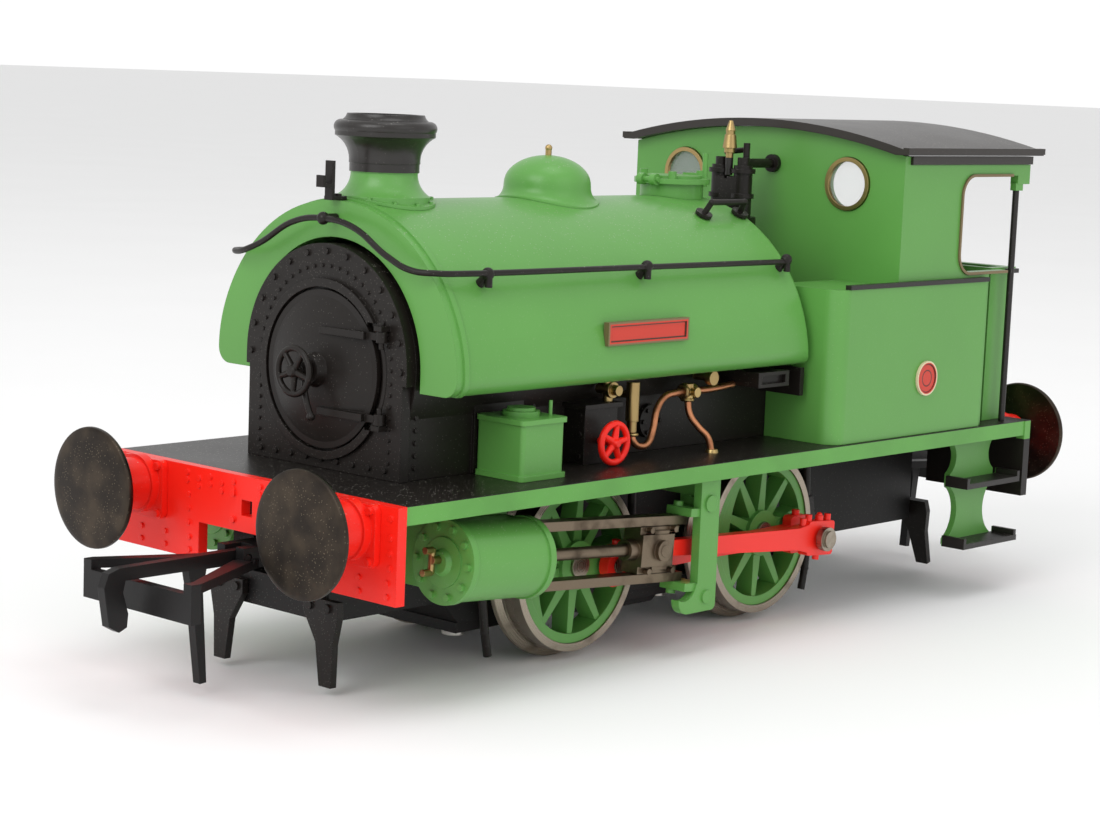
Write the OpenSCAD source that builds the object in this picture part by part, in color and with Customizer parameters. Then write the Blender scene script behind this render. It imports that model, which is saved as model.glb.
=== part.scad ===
// Four-wheel industrial saddle tank shunting engine, 4 mm to the foot on 16.5 mm gauge track.
// +X runs towards the chimney, +Y is the engine's left side, +Z is up, lowest wheel flange at Z 0.

/* [Running gear] */
// Distance between the two axles
wheelbase = 24; // [20:0.5:30]
// Diameter of the wheel tread
tread_d = 14.2; // [11:0.1:18]
// Depth of the wheel flange below the tread
flange_depth = 0.7; // [0.4:0.05:1.2]
// Distance between the inner faces of a pair of wheels
back_to_back = 14.5; // [14:0.05:14.8]
// Width of one wheel
wheel_w = 2.65; // [2:0.05:3.2]
// Spokes in one wheel
spokes = 10; // [8:1:14]
// Crank pin radius of travel
crank_r = 3.5; // [2.5:0.1:4]
// Connecting rod length between pin centres
rod_len = 22.6; // [18:0.1:26]
// Upward tilt of the cylinders towards the front, in degrees
tilt = 4; // [0:0.5:8]
// Centre of the slide bars and cylinders from the engine centreline
stroke_y = 13.2; // [12.5:0.1:14]

/* [Body] */
// Height of the footplate top
foot_z = 16.05; // [14:0.05:18]
// Half width of the footplate
foot_w = 16.1; // [14:0.1:18]
// Half length of the body over the buffer beams
half_len = 41.5; // [36:0.5:48]
// Buffer centre height
buffer_z = 14.05; // [13:0.05:15]
// Buffer centre from the engine centreline
buffer_y = 11.88; // [11:0.01:12.5]
// Buffer head radius
head_r = 4.7; // [2.5:0.1:5]
// Half width of the saddle tank
tank_w = 13.4; // [11:0.1:15]
// Height of the tank top
tank_z = 36.6; // [32:0.1:40]
// Height of the tank bottom edge
tank_low = 22.85; // [20:0.05:26]
// Boiler centre height
boiler_z = 24.2; // [22:0.1:26]

/* [Cab] */
// Front sheet of the cab
cab_front = -19.7; // [-24:0.1:-16]
// Rear end of the cab sides
cab_rear = -40; // [-44:0.1:-36]
// Half width of the upper cab
cab_w = 15.3; // [13:0.1:16]
// Half width of the side bunkers
bunker_w = 15.8; // [14:0.1:16.1]
// Top of the side bunkers
bunker_z = 29.4; // [26:0.1:32]
// Top of the cab sides
cab_z = 40; // [36:0.1:44]

/* [Hidden] */
// Boiler barrel behind the tank, and the lean of the rear guard legs.
firebox_r = 6.05;
lean_out = 16;
$fn = 40;
flange_r = tread_d / 2 + flange_depth;
axle_z = flange_r;
rear_x = -9;
front_x = rear_x + wheelbase;
wheel_in = back_to_back / 2;
wheel_out = wheel_in + wheel_w;
rod_y = 10.35;
slack = (rod_len - sqrt(rod_len * rod_len - crank_r * crank_r)) / 2;
pin_x = rod_len - crank_r - slack;
bolt_x = wheelbase * cos(tilt) - crank_r;
bolt_z = -wheelbase * sin(tilt);
worm_pitch = 1.5708;
worm_phase = -360 * 3.6 / worm_pitch;
gear_phase = 11.25;
lean = asin(crank_r / rod_len);
cyl_back = 33.9;
cyl_front = 42.9;
green = [0.42, 0.66, 0.33];
red = [0.86, 0.2, 0.13];
black = [0.16, 0.14, 0.13];
steel = [0.5, 0.45, 0.38];
brass = [0.75, 0.6, 0.3];
copper = [0.72, 0.42, 0.26];

// Helpers: bars and discs along an axis, mirrored pairs, wires and rounded plates.
module box(x0, x1, y0, y1, z0, z1) {
    translate([x0, y0, z0]) cube([x1 - x0, y1 - y0, z1 - z0]);
}
module disc_x(x0, x1, y, z, r) {
    translate([x0, y, z]) rotate([0, 90, 0]) cylinder(h = x1 - x0, r = r);
}
module disc_y(x, y0, y1, z, r) {
    translate([x, y0, z]) rotate([-90, 0, 0]) cylinder(h = y1 - y0, r = r);
}
module disc_z(x, y, z0, z1, r) {
    translate([x, y, z0]) cylinder(h = z1 - z0, r = r);
}
module cone_x(x0, x1, y, z, r0, r1) {
    translate([x0, y, z]) rotate([0, 90, 0]) cylinder(h = x1 - x0, r1 = r0, r2 = r1);
}
module both() {
    children();
    mirror([0, 1, 0]) children();
}
module bar(a, b, r) {
    d = b - a;
    n = norm(d);
    translate(a) rotate([0, acos(d[2] / n), atan2(d[1], d[0])]) cylinder(h = n, r = r);
}
module wire(p, r) {
    for (i = [0 : len(p) - 2]) bar(p[i], p[i + 1], r);
    for (i = [1 : len(p) - 2]) translate(p[i]) sphere(r = r * 1.08);
}
module round_rect(x0, x1, y0, y1, r) {
    translate([x0 + r, y0]) square([x1 - x0 - 2 * r, y1 - y0]);
    translate([x0, y0 + r]) square([x1 - x0, y1 - y0 - 2 * r]);
    for (x = [x0 + r, x1 - r]) for (y = [y0 + r, y1 - r]) translate([x, y]) circle(r = r);
}
// A profile drawn in Y and Z, pushed out along X.
module along_x(x0, x1) {
    translate([x0, 0, 0]) rotate([90, 0, 90]) linear_extrude(height = x1 - x0) children();
}
// A profile drawn in X and Z, pushed out along Y.
module along_y(y0, y1) {
    translate([0, y1, 0]) rotate([90, 0, 0]) linear_extrude(height = y1 - y0) children();
}
// Line of stroke: X along the piston rod from the rear axle, Z square to it.
module on_stroke() {
    translate([rear_x, 0, axle_z]) rotate([0, -tilt, 0]) children();
}
// A rounded end around the tank's own axis.
module tank_round(x0, x1, r, e) {
    translate([x0, 0, tank_z - r]) rotate([0, 90, 0]) rotate_extrude() {
        square([r - e, x1 - x0]);
        translate([0, e]) square([r, x1 - x0 - e]);
        translate([r - e, e]) circle(r = e);
    }
}
function arch_r(a, h, s) = ((a - s) * (a - s) + h * h - s * s) / (2 * (h - s));

// Tank outline: three arcs over two short sides with rounded lower edges.
module tank_outline(g) {
    side_r = 9.8;
    edge_r = 1.3;
    zc = tank_low + edge_r;
    top_r = arch_r(tank_w, tank_z - zc, side_r);
    a = atan2(zc - tank_z + top_r, tank_w - side_r);
    intersection() {
        translate([0, tank_z - top_r]) circle(r = top_r - g, $fn = 90);
        polygon([[0, tank_z - top_r], [60 * cos(a), tank_z - top_r + 60 * sin(a)], [40, 90], [-40, 90],
            [-60 * cos(a), tank_z - top_r + 60 * sin(a)]]);
    }
    intersection() {
        for (s = [-1, 1]) translate([s * (tank_w - side_r), zc]) circle(r = side_r - g, $fn = 72);
        translate([-20, zc]) square([40, 20]);
    }
    intersection() {
        union() {
            for (s = [-1, 1]) translate([s * (tank_w - edge_r), zc]) circle(r = edge_r - g);
            translate([-tank_w + edge_r, tank_low + g]) square([2 * (tank_w - edge_r), edge_r]);
        }
        translate([-20, tank_low]) square([40, edge_r]);
    }
}

module chassis_block() {
    color(black) difference() {
        union() {
            along_y(-5.5, 5.5) polygon([[-38, 15.1], [-38, 5.4], [-22, 5.4], [-20, 3.5], [24, 3.5],
                [26, 5.4], [38, 5.4], [38, 11.9], [37, 11.9], [37, 15.1]]);
            both() box(-30, 30, 5.4, 6.3, 12.2, 15.1);
            for (x = [-33.5, 33]) disc_z(x, 0, 15, 15.9, 2);
        }
        for (x = [rear_x, front_x]) {
            disc_y(x, -7, 7, axle_z, 1.06);
            box(x - 1.06, x + 1.06, -7, 7, 3, axle_z);
        }
        box(rear_x - 4.9, rear_x + 4.9, -1.4, 1.4, 3, 16);
        box(-14.2, -3.4, -2.6, 2.6, 11, 16);
        box(-4.2, 13.4, -4.6, 4.6, 8.4, 16);
        disc_x(-20, 14.1, 0, 13.65, 0.95);
        box(-20, -14, -0.95, 0.95, 13.65, 16);
        box(13, 14.1, -0.95, 0.95, 13.65, 16);
        for (x = [-33.5, 33]) disc_z(x, 0, 9, 17, 0.62);
        for (s = [-1, 1]) disc_z(s * 35.5, 0, 9, 12.6, 0.66);
        for (s = [-1, 1]) disc_z(s * 35.5, 0, 5, 9, 1.4);
        for (x = [-33.5, 33]) disc_z(x, 0, 5, 9, 1.25);
        both() for (x = [rear_x, front_x]) box(x - 8.3, x + 8.3, 5.3, 7, 12, 15.05);
        for (x = [-3.2, 22]) disc_z(x, 3, 3, 6, 0.45);
        box(24.2, 42, -3.1, 3.1, 8, 11.9);
        box(-42, -24.2, -3.1, 3.1, 8, 11.9);
    }
}

module keeper_plate() {
    color(black) difference() {
        union() {
            box(-20, 24, -5.2, 5.2, 2.6, 3.45);
            for (x = [rear_x, front_x]) both() box(x - 1, x + 1, 2.2, 4.4, 3.4, axle_z - 1.06);
            along_y(-4.4, 4.4) polygon([[-2, 2.65], [-1, 1.9], [8, 1.9], [9.4, 2.65]]);
        }
        for (x = [-3.2, 22]) disc_z(x, 3, 1, 4, 0.62);
        box(rear_x - 3.4, rear_x + 3.4, -1.4, 1.4, 3, 5);
    }
}

module motor_can() {
    color(steel) difference() {
        union() {
            intersection() {
                disc_x(-3.2, 12.4, 0, 13.65, 5);
                box(-4, 13, -4.3, 4.3, 8, 19);
            }
            disc_x(-3.9, -3.1, 0, 13.65, 1.5);
            disc_x(12.3, 13.1, 0, 13.65, 1.5);
        }
        intersection() {
            disc_x(-2.4, 11.6, 0, 13.65, 4.4);
            box(-4, 13, -3.8, 3.8, 8, 19);
        }
        disc_x(-5, 14, 0, 13.65, 0.56);
    }
}

module armature() {
    color(brass) {
        disc_x(-15.4, 13.4, 0, 13.65, 0.5);
        difference() {
            disc_x(-1.2, 8.6, 0, 13.65, 3.2);
            for (i = [0 : 4]) translate([-1.3, 0, 13.65]) rotate([72 * i, 0, 0]) box(0, 10, -0.4, 0.4,
                2, 4);
        }
        disc_x(8.5, 11, 0, 13.65, 1.3);
        translate([-12.6, 0, 13.65]) rotate([0, 90, 0]) rotate([0, 0, worm_phase])
            linear_extrude(height = 7.2, twist = -360 * 7.2 / worm_pitch, slices = 56) worm_section();
    }
}
module worm_section() {
    circle(r = 1.25, $fn = 26);
    polygon(concat([for (i = [-3 : 3]) 1.2 * [cos(i * 21), sin(i * 21)]],
        [for (i = [3 : -1 : -3]) 1.95 * [cos(i * 14), sin(i * 14)]]));
}
// Sixteen narrow teeth on a disc.
module gear(w) {
    along_y(-w / 2, w / 2) {
        circle(r = 3.45);
        for (i = [0 : 15]) rotate(22.5 * i) polygon([[3.2, -0.42], [3.2, 0.42], [4.35, 0.2], [4.35, -0.2]]);
    }
}

module circuit_board() {
    color([0.1, 0.32, 0.2]) {
        box(14.5, 30.5, -4.5, 4.5, 18.1, 18.9);
        box(17, 21, -3, 3, 18.85, 20.1);
        box(24, 29.5, -3.4, 3.4, 18.85, 20.4);
        for (s = [-1, 1]) disc_z(16, s * 3, 18.8, 21.4, 0.6);
        for (x = [15.6, 25.4]) for (s = [-1, 1]) disc_z(x, s * 3.6, 15.12, 18.2, 0.5);
    }
}

module body_screws() {
    color(steel) for (x = [-3.2, 22]) {
        disc_z(x, 3, 1.95, 2.58, 0.95);
        disc_z(x, 3, 2.5, 5.6, 0.42);
    }
    color(steel) for (s = [-1, 1]) {
        disc_z(s * 35.5, 0, 8.6, 9.1, 1.1);
        disc_z(s * 35.5, 0, 8.7, 12.5, 0.64);
    }
    color(steel) for (x = [-33.5, 33]) {
        disc_z(x, 0, 11.35, 11.88, 0.95);
        disc_z(x, 0, 11.4, 15.95, 0.58);
    }
}

module footplate() {
    color(green) difference() {
        union() {
            box(-half_len + 0.9, half_len - 0.9, -foot_w, foot_w, foot_z - 0.8, foot_z);
            both() box(-half_len + 0.9, half_len - 0.9, foot_w - 0.7, foot_w, foot_z - 1.4, foot_z - 0.7);
            difference() {
                box(-half_len, -half_len + 0.95, -foot_w - 0.1, foot_w + 0.1, 8.9, foot_z);
                box(-half_len - 1, -half_len + 1, -5.5, 5.5, 8, 11.8);
            }
            both() for (i = [0 : 3]) disc_x(-half_len - 0.15, -half_len + 0.1, 1.2 + 2.6 * i, 15.3, 0.25);
            both() for (i = [2 : 5]) disc_x(-half_len - 0.15, -half_len + 0.1, 1.2 + 2.6 * i, 9.6, 0.25);
        }
        box(-24, 26.5, -4.9, 4.9, 14, 17);
        both() for (x = [rear_x, front_x]) box(x - 4.2, x + 4.2, 6.9, 8.2, 14, 17);
        for (x = [-33.5, 33]) disc_z(x, 0, 14, 17, 0.65);
        for (x = [-33.5, 33]) disc_z(x, 0, 14, 15.95, 2.1);
        both() disc_x(-half_len - 1, -half_len + 2, buffer_y, buffer_z, 0.62);
    }
}

module front_beam() {
    x = half_len - 0.88;
    color(red) difference() {
        union() {
            box(x, half_len, -foot_w - 0.1, foot_w + 0.1, 8.9, foot_z);
            both() for (i = [0 : 4]) for (z = [14.9, 15.5])
                disc_x(half_len - 0.1, half_len + 0.14, 1.5 + 1.35 * i, z - 0.3 * (i % 2), 0.22);
            both() for (i = [0 : 3]) for (z = [9.5, 10.5])
                disc_x(half_len - 0.1, half_len + 0.14, 6.6 + 2.9 * i, z, 0.22);
            both() for (z = [11.6, 12.7, 13.8]) disc_x(half_len - 0.1, half_len + 0.14, 6.7, z, 0.22);
            both() for (z = [11.6, 12.7, 13.8, 15.2]) disc_x(half_len - 0.1, half_len + 0.14, 15.5, z,
                0.22);
            for (s = [-1, 1]) for (z = [12.6, 14.6]) disc_x(half_len - 0.1, half_len + 0.2, s * 1.5, z,
                0.25);
        }
        box(x - 1, half_len + 1, -5.5, 5.5, 8, 11.8);
        box(x - 1, half_len + 1, -0.6, 0.6, 13.05, 14.25);
        both() disc_x(x - 1, half_len + 1, buffer_y, buffer_z, 0.62);
    }
}

module saddle_tank() {
    top_r = 13.75;
    color(green) {
        difference() {
            intersection() {
                along_x(-10.4, 33.2) tank_outline(0);
                tank_round(-10.4, 40, top_r, 1.8);
            }
            along_x(-16, 40) {
                translate([0, boiler_z]) circle(r = 9.6, $fn = 72);
                translate([-9.6, 10]) square([19.2, boiler_z - 10]);
            }
            disc_z(28.3, 0, 30, 40, 1.9);
        }
        difference() {
            along_x(32, 32.5) tank_outline(-0.16);
            along_x(31, 34) tank_outline(0.5);
        }
        both() box(-9, 32, 9.2, 9.7, tank_low + 0.4, tank_low + 1.2);
    }
}

module boiler_firebox() {
    color(black) difference() {
        union() {
            disc_x(-10.9, 33.1, 0, boiler_z, 9.05);
            disc_x(-19.4, -10.5, 0, boiler_z, firebox_r);
            box(-19.4, 33.1, -8.35, 8.35, foot_z + 0.02, boiler_z);
            both() {
                box(11.8, 15.7, 8.3, 10.6, foot_z + 0.02, 20.6);
                box(11.5, 16, 8.3, 10.9, 20.5, 20.9);
                for (z = [16.7, 18.5, 20]) disc_x(15.6, 15.85, 10.1, z, 0.2);
                box(20.7, 26.2, 8.3, 8.6, foot_z + 0.02, 21.6);
                for (i = [0 : 6]) disc_y(32.3, 8.25, 8.5, 17 + 0.95 * i, 0.19);
                for (i = [0 : 6]) disc_y(19.4, 8.25, 8.5, 17 + 0.95 * i, 0.19);
                box(-7.6, -3.4, 8.2, 13, 21.2, 22.5);
                box(-9.7, -9.2, 8.2, 13, 20.2, 22.6);
            }
            both() disc_y(5.4, 8.2, 8.8, 18.6, 1.4);
            both() for (i = [0 : 5]) disc_y(5.4 + 1.05 * cos(60 * i), 8.7, 9,
                18.6 + 1.05 * sin(60 * i), 0.18);
        }
        box(-18.6, 32.2, -7.2, 7.2, 15, 21.5);
        disc_x(-10, 32.2, 0, boiler_z, 8.1);
        disc_x(-18.6, -9, 0, boiler_z, firebox_r - 0.9);
        both() box(-7.1, -3.9, 12.6, 13.5, 21.5, 22.2);
        box(-20, 34, -10, 10, 10, foot_z + 0.02);
    }
}

module smokebox_front() {
    x0 = 33.12;
    x1 = 34.05;
    color(black) difference() {
        union() {
            along_x(x0, x1) {
                intersection() {
                    translate([0, boiler_z + 0.15]) circle(r = 9, $fn = 72);
                    translate([-10, boiler_z]) square([20, 12]);
                }
                translate([-9, boiler_z - 0.9]) square([18, 1]);
                translate([-8.6, foot_z + 0.02]) square([17.2, boiler_z - foot_z]);
            }
            along_x(x0, x1 + 0.05) translate([0, boiler_z - 0.45]) circle(r = 6.9, $fn = 60);
            for (a = [0 : 15 : 180]) disc_x(x1 - 0.1, x1 + 0.18, 8.4 * cos(a),
                boiler_z + 0.15 + 8.4 * sin(a), 0.25);
            for (a = [0 : 7.2 : 180]) disc_x(x1 - 0.1, x1 + 0.12, 7.3 * cos(a),
                boiler_z + 0.15 + 7.3 * sin(a), 0.15);
            both() for (i = [1 : 8]) disc_x(x1 - 0.1, x1 + 0.12, 7.3, boiler_z - 0.85 * i, 0.15);
            for (i = [-4 : 4]) disc_x(x1 - 0.1, x1 + 0.18, 1.75 * i, foot_z + 0.75, 0.24);
        }
        disc_x(x1 - 0.3, x1 + 1, 0, boiler_z - 0.45, 6.55);
        disc_x(x0 - 1, x1 + 1, 0, boiler_z - 0.45, 5.3);
    }
    color(black) difference() {
        disc_x(x1 - 0.5, x1 + 0.35, 0, boiler_z - 0.45, 6.95);
        disc_x(x1 - 1, x1 + 1, 0, boiler_z - 0.45, 6.3);
        box(x1 - 1, x1 + 1, 5, 8, boiler_z - 4.5, boiler_z + 3.6);
    }
    color(black) for (s = [-1, 1]) difference() {
        box(x1 - 0.1, x1 + 0.95, 6.35, 7.15, boiler_z - 0.45 + s * 3.1 + (s > 0 ? 0.45 : -0.85),
            boiler_z - 0.45 + s * 3.1
            + (s > 0 ? 0.85 : -0.45));
        disc_z(x1 + 0.5, 6.75, 10, 40, 0.27);
    }
}

module smokebox_door() {
    x = 33.85;
    zc = boiler_z - 0.45;
    color(black) difference() {
        union() {
            translate([x, 0, zc]) rotate([0, 90, 0]) rotate_extrude($fn = 72) intersection() {
                square([5.6, 2]);
                translate([0, 1.2 - 21.3]) circle(r = 21.3, $fn = 240);
            }
            disc_x(x, x + 0.45, 0, zc, 6.1);
            cone_x(x + 0.2, x + 1.9, 0, zc, 1.7, 1.1);
            for (s = [-1, 1]) {
                box(x + 0.2, x + 1.2, 0.4, 5.3, zc + s * 3.1 - 0.28, zc + s * 3.1 + 0.28);
                box(x + 0.55, x + 0.85, 5.2, 6.6, zc + s * 3.1 - 0.28, zc + s * 3.1 + 0.28);
                disc_z(x + 0.7, 6.75, zc + s * 3.1 - 0.42, zc + s * 3.1 + 0.42, 0.42);
            }
            for (s = [-1, 1]) disc_z(x + 0.7, 6.75, zc + s * 3.1 - 0.9, zc + s * 3.1 + 0.9, 0.2);
        }
        disc_x(x - 1, x + 3, 0, zc, 0.42);
    }
}

module door_handwheel() {
    zc = boiler_z - 0.45;
    color(black) {
        disc_x(34.4, 37.4, 0, zc, 0.36);
        disc_x(35.85, 36.6, 0, zc, 0.75);
        translate([36.25, 0, zc]) rotate([20, 0, 0]) {
            bar([0, 0, -0.5], [0.25, 0, -3.7], 0.26);
            translate([0.25, 0, -3.7]) sphere(r = 0.33);
        }
        difference() {
            disc_x(36.9, 37.35, 0, zc, 1.8);
            for (i = [0 : 4]) disc_x(36, 38, 1.08 * cos(72 * i), zc + 1.08 * sin(72 * i), 0.42);
        }
        translate([37.12, 0, zc]) rotate([0, 90, 0]) rotate_extrude()
            translate([1.75, 0]) circle(r = 0.26, $fn = 20);
    }
}

module chimney() {
    x = 28.3;
    color(black) difference() {
        union() {
            translate([x, 0, 0]) rotate_extrude() {
                square([2.55, 42.6]);
                difference() {
                    translate([0, tank_z - 1.5]) square([3.62, 3.62]);
                    translate([4.62, 38.65]) circle(r = 2.02);
                }
                difference() {
                    translate([0, 39.4]) square([3.9, 2.7]);
                    translate([4.86, 39.6]) circle(r = 2.1);
                }
                translate([3.45, 42.12]) circle(r = 0.55);
                translate([0, 41.6]) square([3.45, 1.05]);
                difference() {
                    translate([0, 42.5]) square([3.3, 0.65]);
                    translate([3.65, 43.25]) circle(r = 0.65);
                }
                translate([0, 38.72]) square([2.72, 0.9]);
            }
            intersection() {
                disc_z(x, 0, 33, 38, 4.05);
                along_x(x - 5, x + 5) tank_outline(-0.26);
            }
            intersection() {
                for (a = [30 : 30 : 330]) translate([x, 0, 0]) rotate([0, 0, a]) disc_z(3.83, 0, 33,
                    38, 0.16);
                along_x(x - 5, x + 5) tank_outline(-0.42);
            }
        }
        along_x(x - 6, x + 6) tank_outline(-0.01);
        box(31.93, 34, -6, 6, 30, 38.5);
        box(x - 6, x + 6, -6, 6, -1, 34);
        disc_z(x, 0, 30, 50, 1.9);
        disc_z(x, 0, 42.4, 50, 2.6);
    }
}

module dome() {
    color(green) difference() {
        union() {
            translate([9.6, 0, 36.4]) sphere(r = 3.65);
            disc_z(9.6, 0, 35.6, 36.95, 3.85);
        }
        along_x(0, 20) tank_outline(0);
        box(0, 20, -6, 6, 20, 35);
        disc_z(9.6, 0, 39, 42, 0.3);
    }
}

// A small valve with its handwheel boss towards the side and a union above and below.
module valve_body(x, z) {
    disc_y(x, 9.2, 11.4, z, 0.42);
    disc_y(x, 10.4, 10.8, z, 0.66);
    disc_z(x, 10.2, z - 0.95, z + 0.55, 0.4);
    disc_z(x, 10.2, z + 0.45, z + 0.7, 0.5);
}
module brass_fittings() {
    color(brass) {
        disc_z(9.6, 0, 39.4, 40.6, 0.26);
        translate([9.6, 0, 40.62]) sphere(r = 0.3);
        translate([-14.4, 0, 0]) {
            disc_z(0, 0, 38.3, 40.4, 0.35);
            translate([0, 0, 40.7]) cylinder(h = 1.2, r1 = 0.66, r2 = 0.5);
            disc_z(0, 0, 40.3, 40.8, 0.5);
            disc_z(0, 0, 41.8, 42.3, 0.42);
            translate([0, 0, 42.25]) cylinder(h = 0.9, r1 = 0.46, r2 = 0.16);
        }
        for (s = [-1, 1]) difference() {
            disc_x(cab_front - 0.08, cab_front + 0.25, s * 9.3, 38, 2.36);
            disc_x(cab_front - 1, cab_front + 1, s * 9.3, 38, 1.98);
        }
        both() {
            valve_body(12.6, 21.9);
            disc_y(9.5, 9.1, 10.4, 21.2, 0.3);
            disc_z(9.5, 10.2, 19.1, 22.3, 0.55);
            disc_z(9.5, 10.2, 18.2, 19.2, 0.42);
            disc_y(0.3, 9.1, 10.9, 22.1, 0.3);
            disc_y(0.3, 10.6, 11.2, 22.1, 0.6);
        }
        on_stroke() both() {
            bar([42.7, stroke_y, 0.2], [44.1, stroke_y, 0.2], 0.3);
            bar([43.9, stroke_y - 0.2, 1.05], [43.9, stroke_y - 0.2, -0.85], 0.27);
            bar([43.9, stroke_y - 0.2, -0.75], [44.8, stroke_y - 0.2, -0.75], 0.27);
            bar([43.9, stroke_y - 0.2, 0.9], [44.7, stroke_y - 0.2, 0.9], 0.27);
        }
    }
}

module tank_filler() {
    x = -6.5;
    color(green) {
        difference() {
            disc_z(x, 0, 35.7, 37.7, 2.75);
            along_x(x - 6, x + 6) tank_outline(0);
            box(x - 6, x + 6, -6, 6, 20, 35.9);
        }
        disc_z(x, 0, 37.65, 38.1, 3.3);
        disc_z(x, 0, 38, 38.35, 2.6);
        for (i = [0 : 2]) {
            a = 40 + 120 * i;
            disc_z(x + 2.85 * cos(a), 2.85 * sin(a), 38, 38.75, 0.36);
        }
        disc_z(x - 2.9, 1.3, 37.9, 40.3, 0.24);
        box(x - 3.9, x - 2.4, -0.8, 0.8, 37.3, 38.5);
        for (s = [-1, 1]) disc_y(x + 3.2, s * 0.7 - 0.3, s * 0.7 + 0.3, 38, 0.5);
        disc_y(x + 3.2, -1.2, 1.2, 38, 0.25);
    }
}

module steam_fitting() {
    x = -14.9;
    color(black) {
        difference() {
            union() {
                disc_z(x, 0, 29, 34.6, 2.3);
                for (s = [-1, 1]) {
                    disc_z(x, s * 1.25, 34.4, 39.2, 0.85);
                    disc_z(x, s * 1.25, 38.5, 38.9, 1.1);
                    disc_z(x, s * 1.25, 36.3, 36.7, 1.05);
                    disc_z(x, s * 1.25, 39.1, 39.9, 0.55);
                }
                box(x - 0.9, x + 0.9, -1.2, 1.2, 34.5, 38.2);
            }
            disc_x(x - 6, x + 6, 0, boiler_z, firebox_r + 0.03);
            disc_z(-14.4, 0, 38, 45, 0.42);
        }
        disc_z(x - 0.55, 1.1, 39.5, 41.2, 0.3);
        bar([x - 0.55, 1.1, 40.6], [x - 0.6, -1.3, 40.3], 0.25);
        bar([x, 1, 39.4], [cab_front + 0.03, 1, 39.4], 0.42);
        disc_x(cab_front + 0.03, cab_front + 0.5, 1, 39.4, 0.8);
    }
}

module handrails() {
    $fn = 20;
    half = [[34.75, 3.4, 34.8], [34.75, 7.4, 32.7], [34.5, 9.9, 31.95], [33.2, 11.75, 31.9],
        [-8.9, 11.75, 31.6]];
    color(black) {
        wire(concat([for (i = [4 : -1 : 0]) [half[i][0], -half[i][1], half[i][2]]],
            [[34.75, 0, 35.3]], half), 0.24);
        both() for (p = [28.6, 10.3, -8.3]) {
            translate([p, 11.75, 31.75]) sphere(r = 0.52);
            bar([p, 11.75, 31.75], [p, 10.985, 31.04], 0.2);
        }
        disc_x(33.22, 34.9, 0, 35.3, 0.45);
    }
}

module lamp_irons() {
    color(black) {
        box(32.6, 34.1, -0.45, 0.45, tank_z + 0.02, tank_z + 0.32);
        box(33.8, 34.1, -0.4, 0.4, tank_z + 0.1, 39.6);
        box(34, 35, -0.4, 0.4, 37.6, 37.9);
        box(34.75, 35, -0.4, 0.4, 37.6, 38.5);
        for (s = [-1, 1]) disc_z(33.1, s * 0.05, tank_z + 0.3, tank_z + 0.5, 0.25);
        for (x = [-3.5, -8.4]) translate([x, 6.1, 35.25]) rotate([-27, 0, 0]) disc_z(0, 0, 0.02, 0.32,
            0.75);
        wire([[-3.5, 6.15, 35.35], [-3.7, 6.8, 36.4], [-8.2, 6.8, 36.4], [-8.4, 6.15, 35.35]], 0.26);
    }
}

module cab_arc(w, r, crest, low) {
    intersection() {
        translate([0, crest - r]) circle(r = r, $fn = 160);
        translate([-w, low]) square([2 * w, 40]);
    }
}
module cab_body() {
    t = 0.8;
    f = cab_front;
    color(green) {
        difference() {
            along_x(f - t, f) cab_arc(cab_w, 62, 42.65, foot_z + 0.02);
            for (s = [-1, 1]) disc_x(f - 3, f + 3, s * 9.3, 38, 2.15);
            for (s = [-1, 1]) disc_x(f - 0.35, f + 3, s * 9.3, 38, 2.4);
            along_x(f - 3, f + 3) translate([-6.5, 15]) square([13, 13.6]);
        }
        both() along_y(cab_w - t, cab_w) difference() {
            translate([cab_rear, foot_z + 0.02]) square([f - cab_rear - 0.3, cab_z - foot_z - 0.02]);
            round_rect(cab_rear - 4, -28.9, 30.2, 39, 1.8);
            translate([cab_rear - 1, 12]) square([6.9, 19]);
        }
        both() along_y(cab_w - 0.9, cab_w + 0.18) difference() {
            round_rect(cab_rear - 5, -28.74, 30.04, 39.16, 1.96);
            round_rect(cab_rear - 6, -29, 30.3, 38.9, 1.7);
            translate([cab_rear - 9, 28]) square([12, 13]);
        }
        difference() {
            union() {
                box(cab_rear - 0.2, cab_rear + 0.6, -13.9, 13.9, foot_z + 0.02, 30);
                both() box(cab_rear + 0.5, cab_rear + 3.4, 13.2, 13.9, foot_z + 0.02, 30);
                box(cab_rear - 0.5, cab_rear + 3.6, -14.1, 14.1, 29.9, 30.4);
            }
            box(cab_rear + 0.6, cab_rear + 3, -13.2, 13.2, 29, 31);
        }
        both() {
            box(cab_rear, cab_rear + 2, cab_w - 0.8, cab_w, 38.2, cab_z);
            box(cab_rear + 1, cab_rear + 2.2, cab_w - 0.65, cab_w - 0.05, 37.6, 38.3);
            disc_z(cab_rear + 1.6, cab_w - 0.4, foot_z + 0.02, 38, 0.3);
            box(cab_rear + 0.6, cab_rear + 2, 14, cab_w - 0.15, 29.95, 30.35);
        }
        box(cab_rear + 0.6, -34, -13.1, 13.1, foot_z + 0.02, foot_z + 0.6);
    }
}

module cab_roof() {
    a = cab_rear - 0.7;
    b = cab_front + 1.1;
    color(black) {
        along_x(a, b) difference() {
            cab_arc(16.2, 62, 43.4, 38);
            translate([0, 42.68 - 62]) circle(r = 62, $fn = 160);
            translate([-30, 30]) square([60, 10.85]);
        }
        both() {
            box(a, b, 15.75, 16.35, 40.95, 41.5);
            box(cab_rear, cab_front - 0.83, cab_w - 0.6, cab_w + 0.25, 40.03, 40.75);
        }
    }
}

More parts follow.
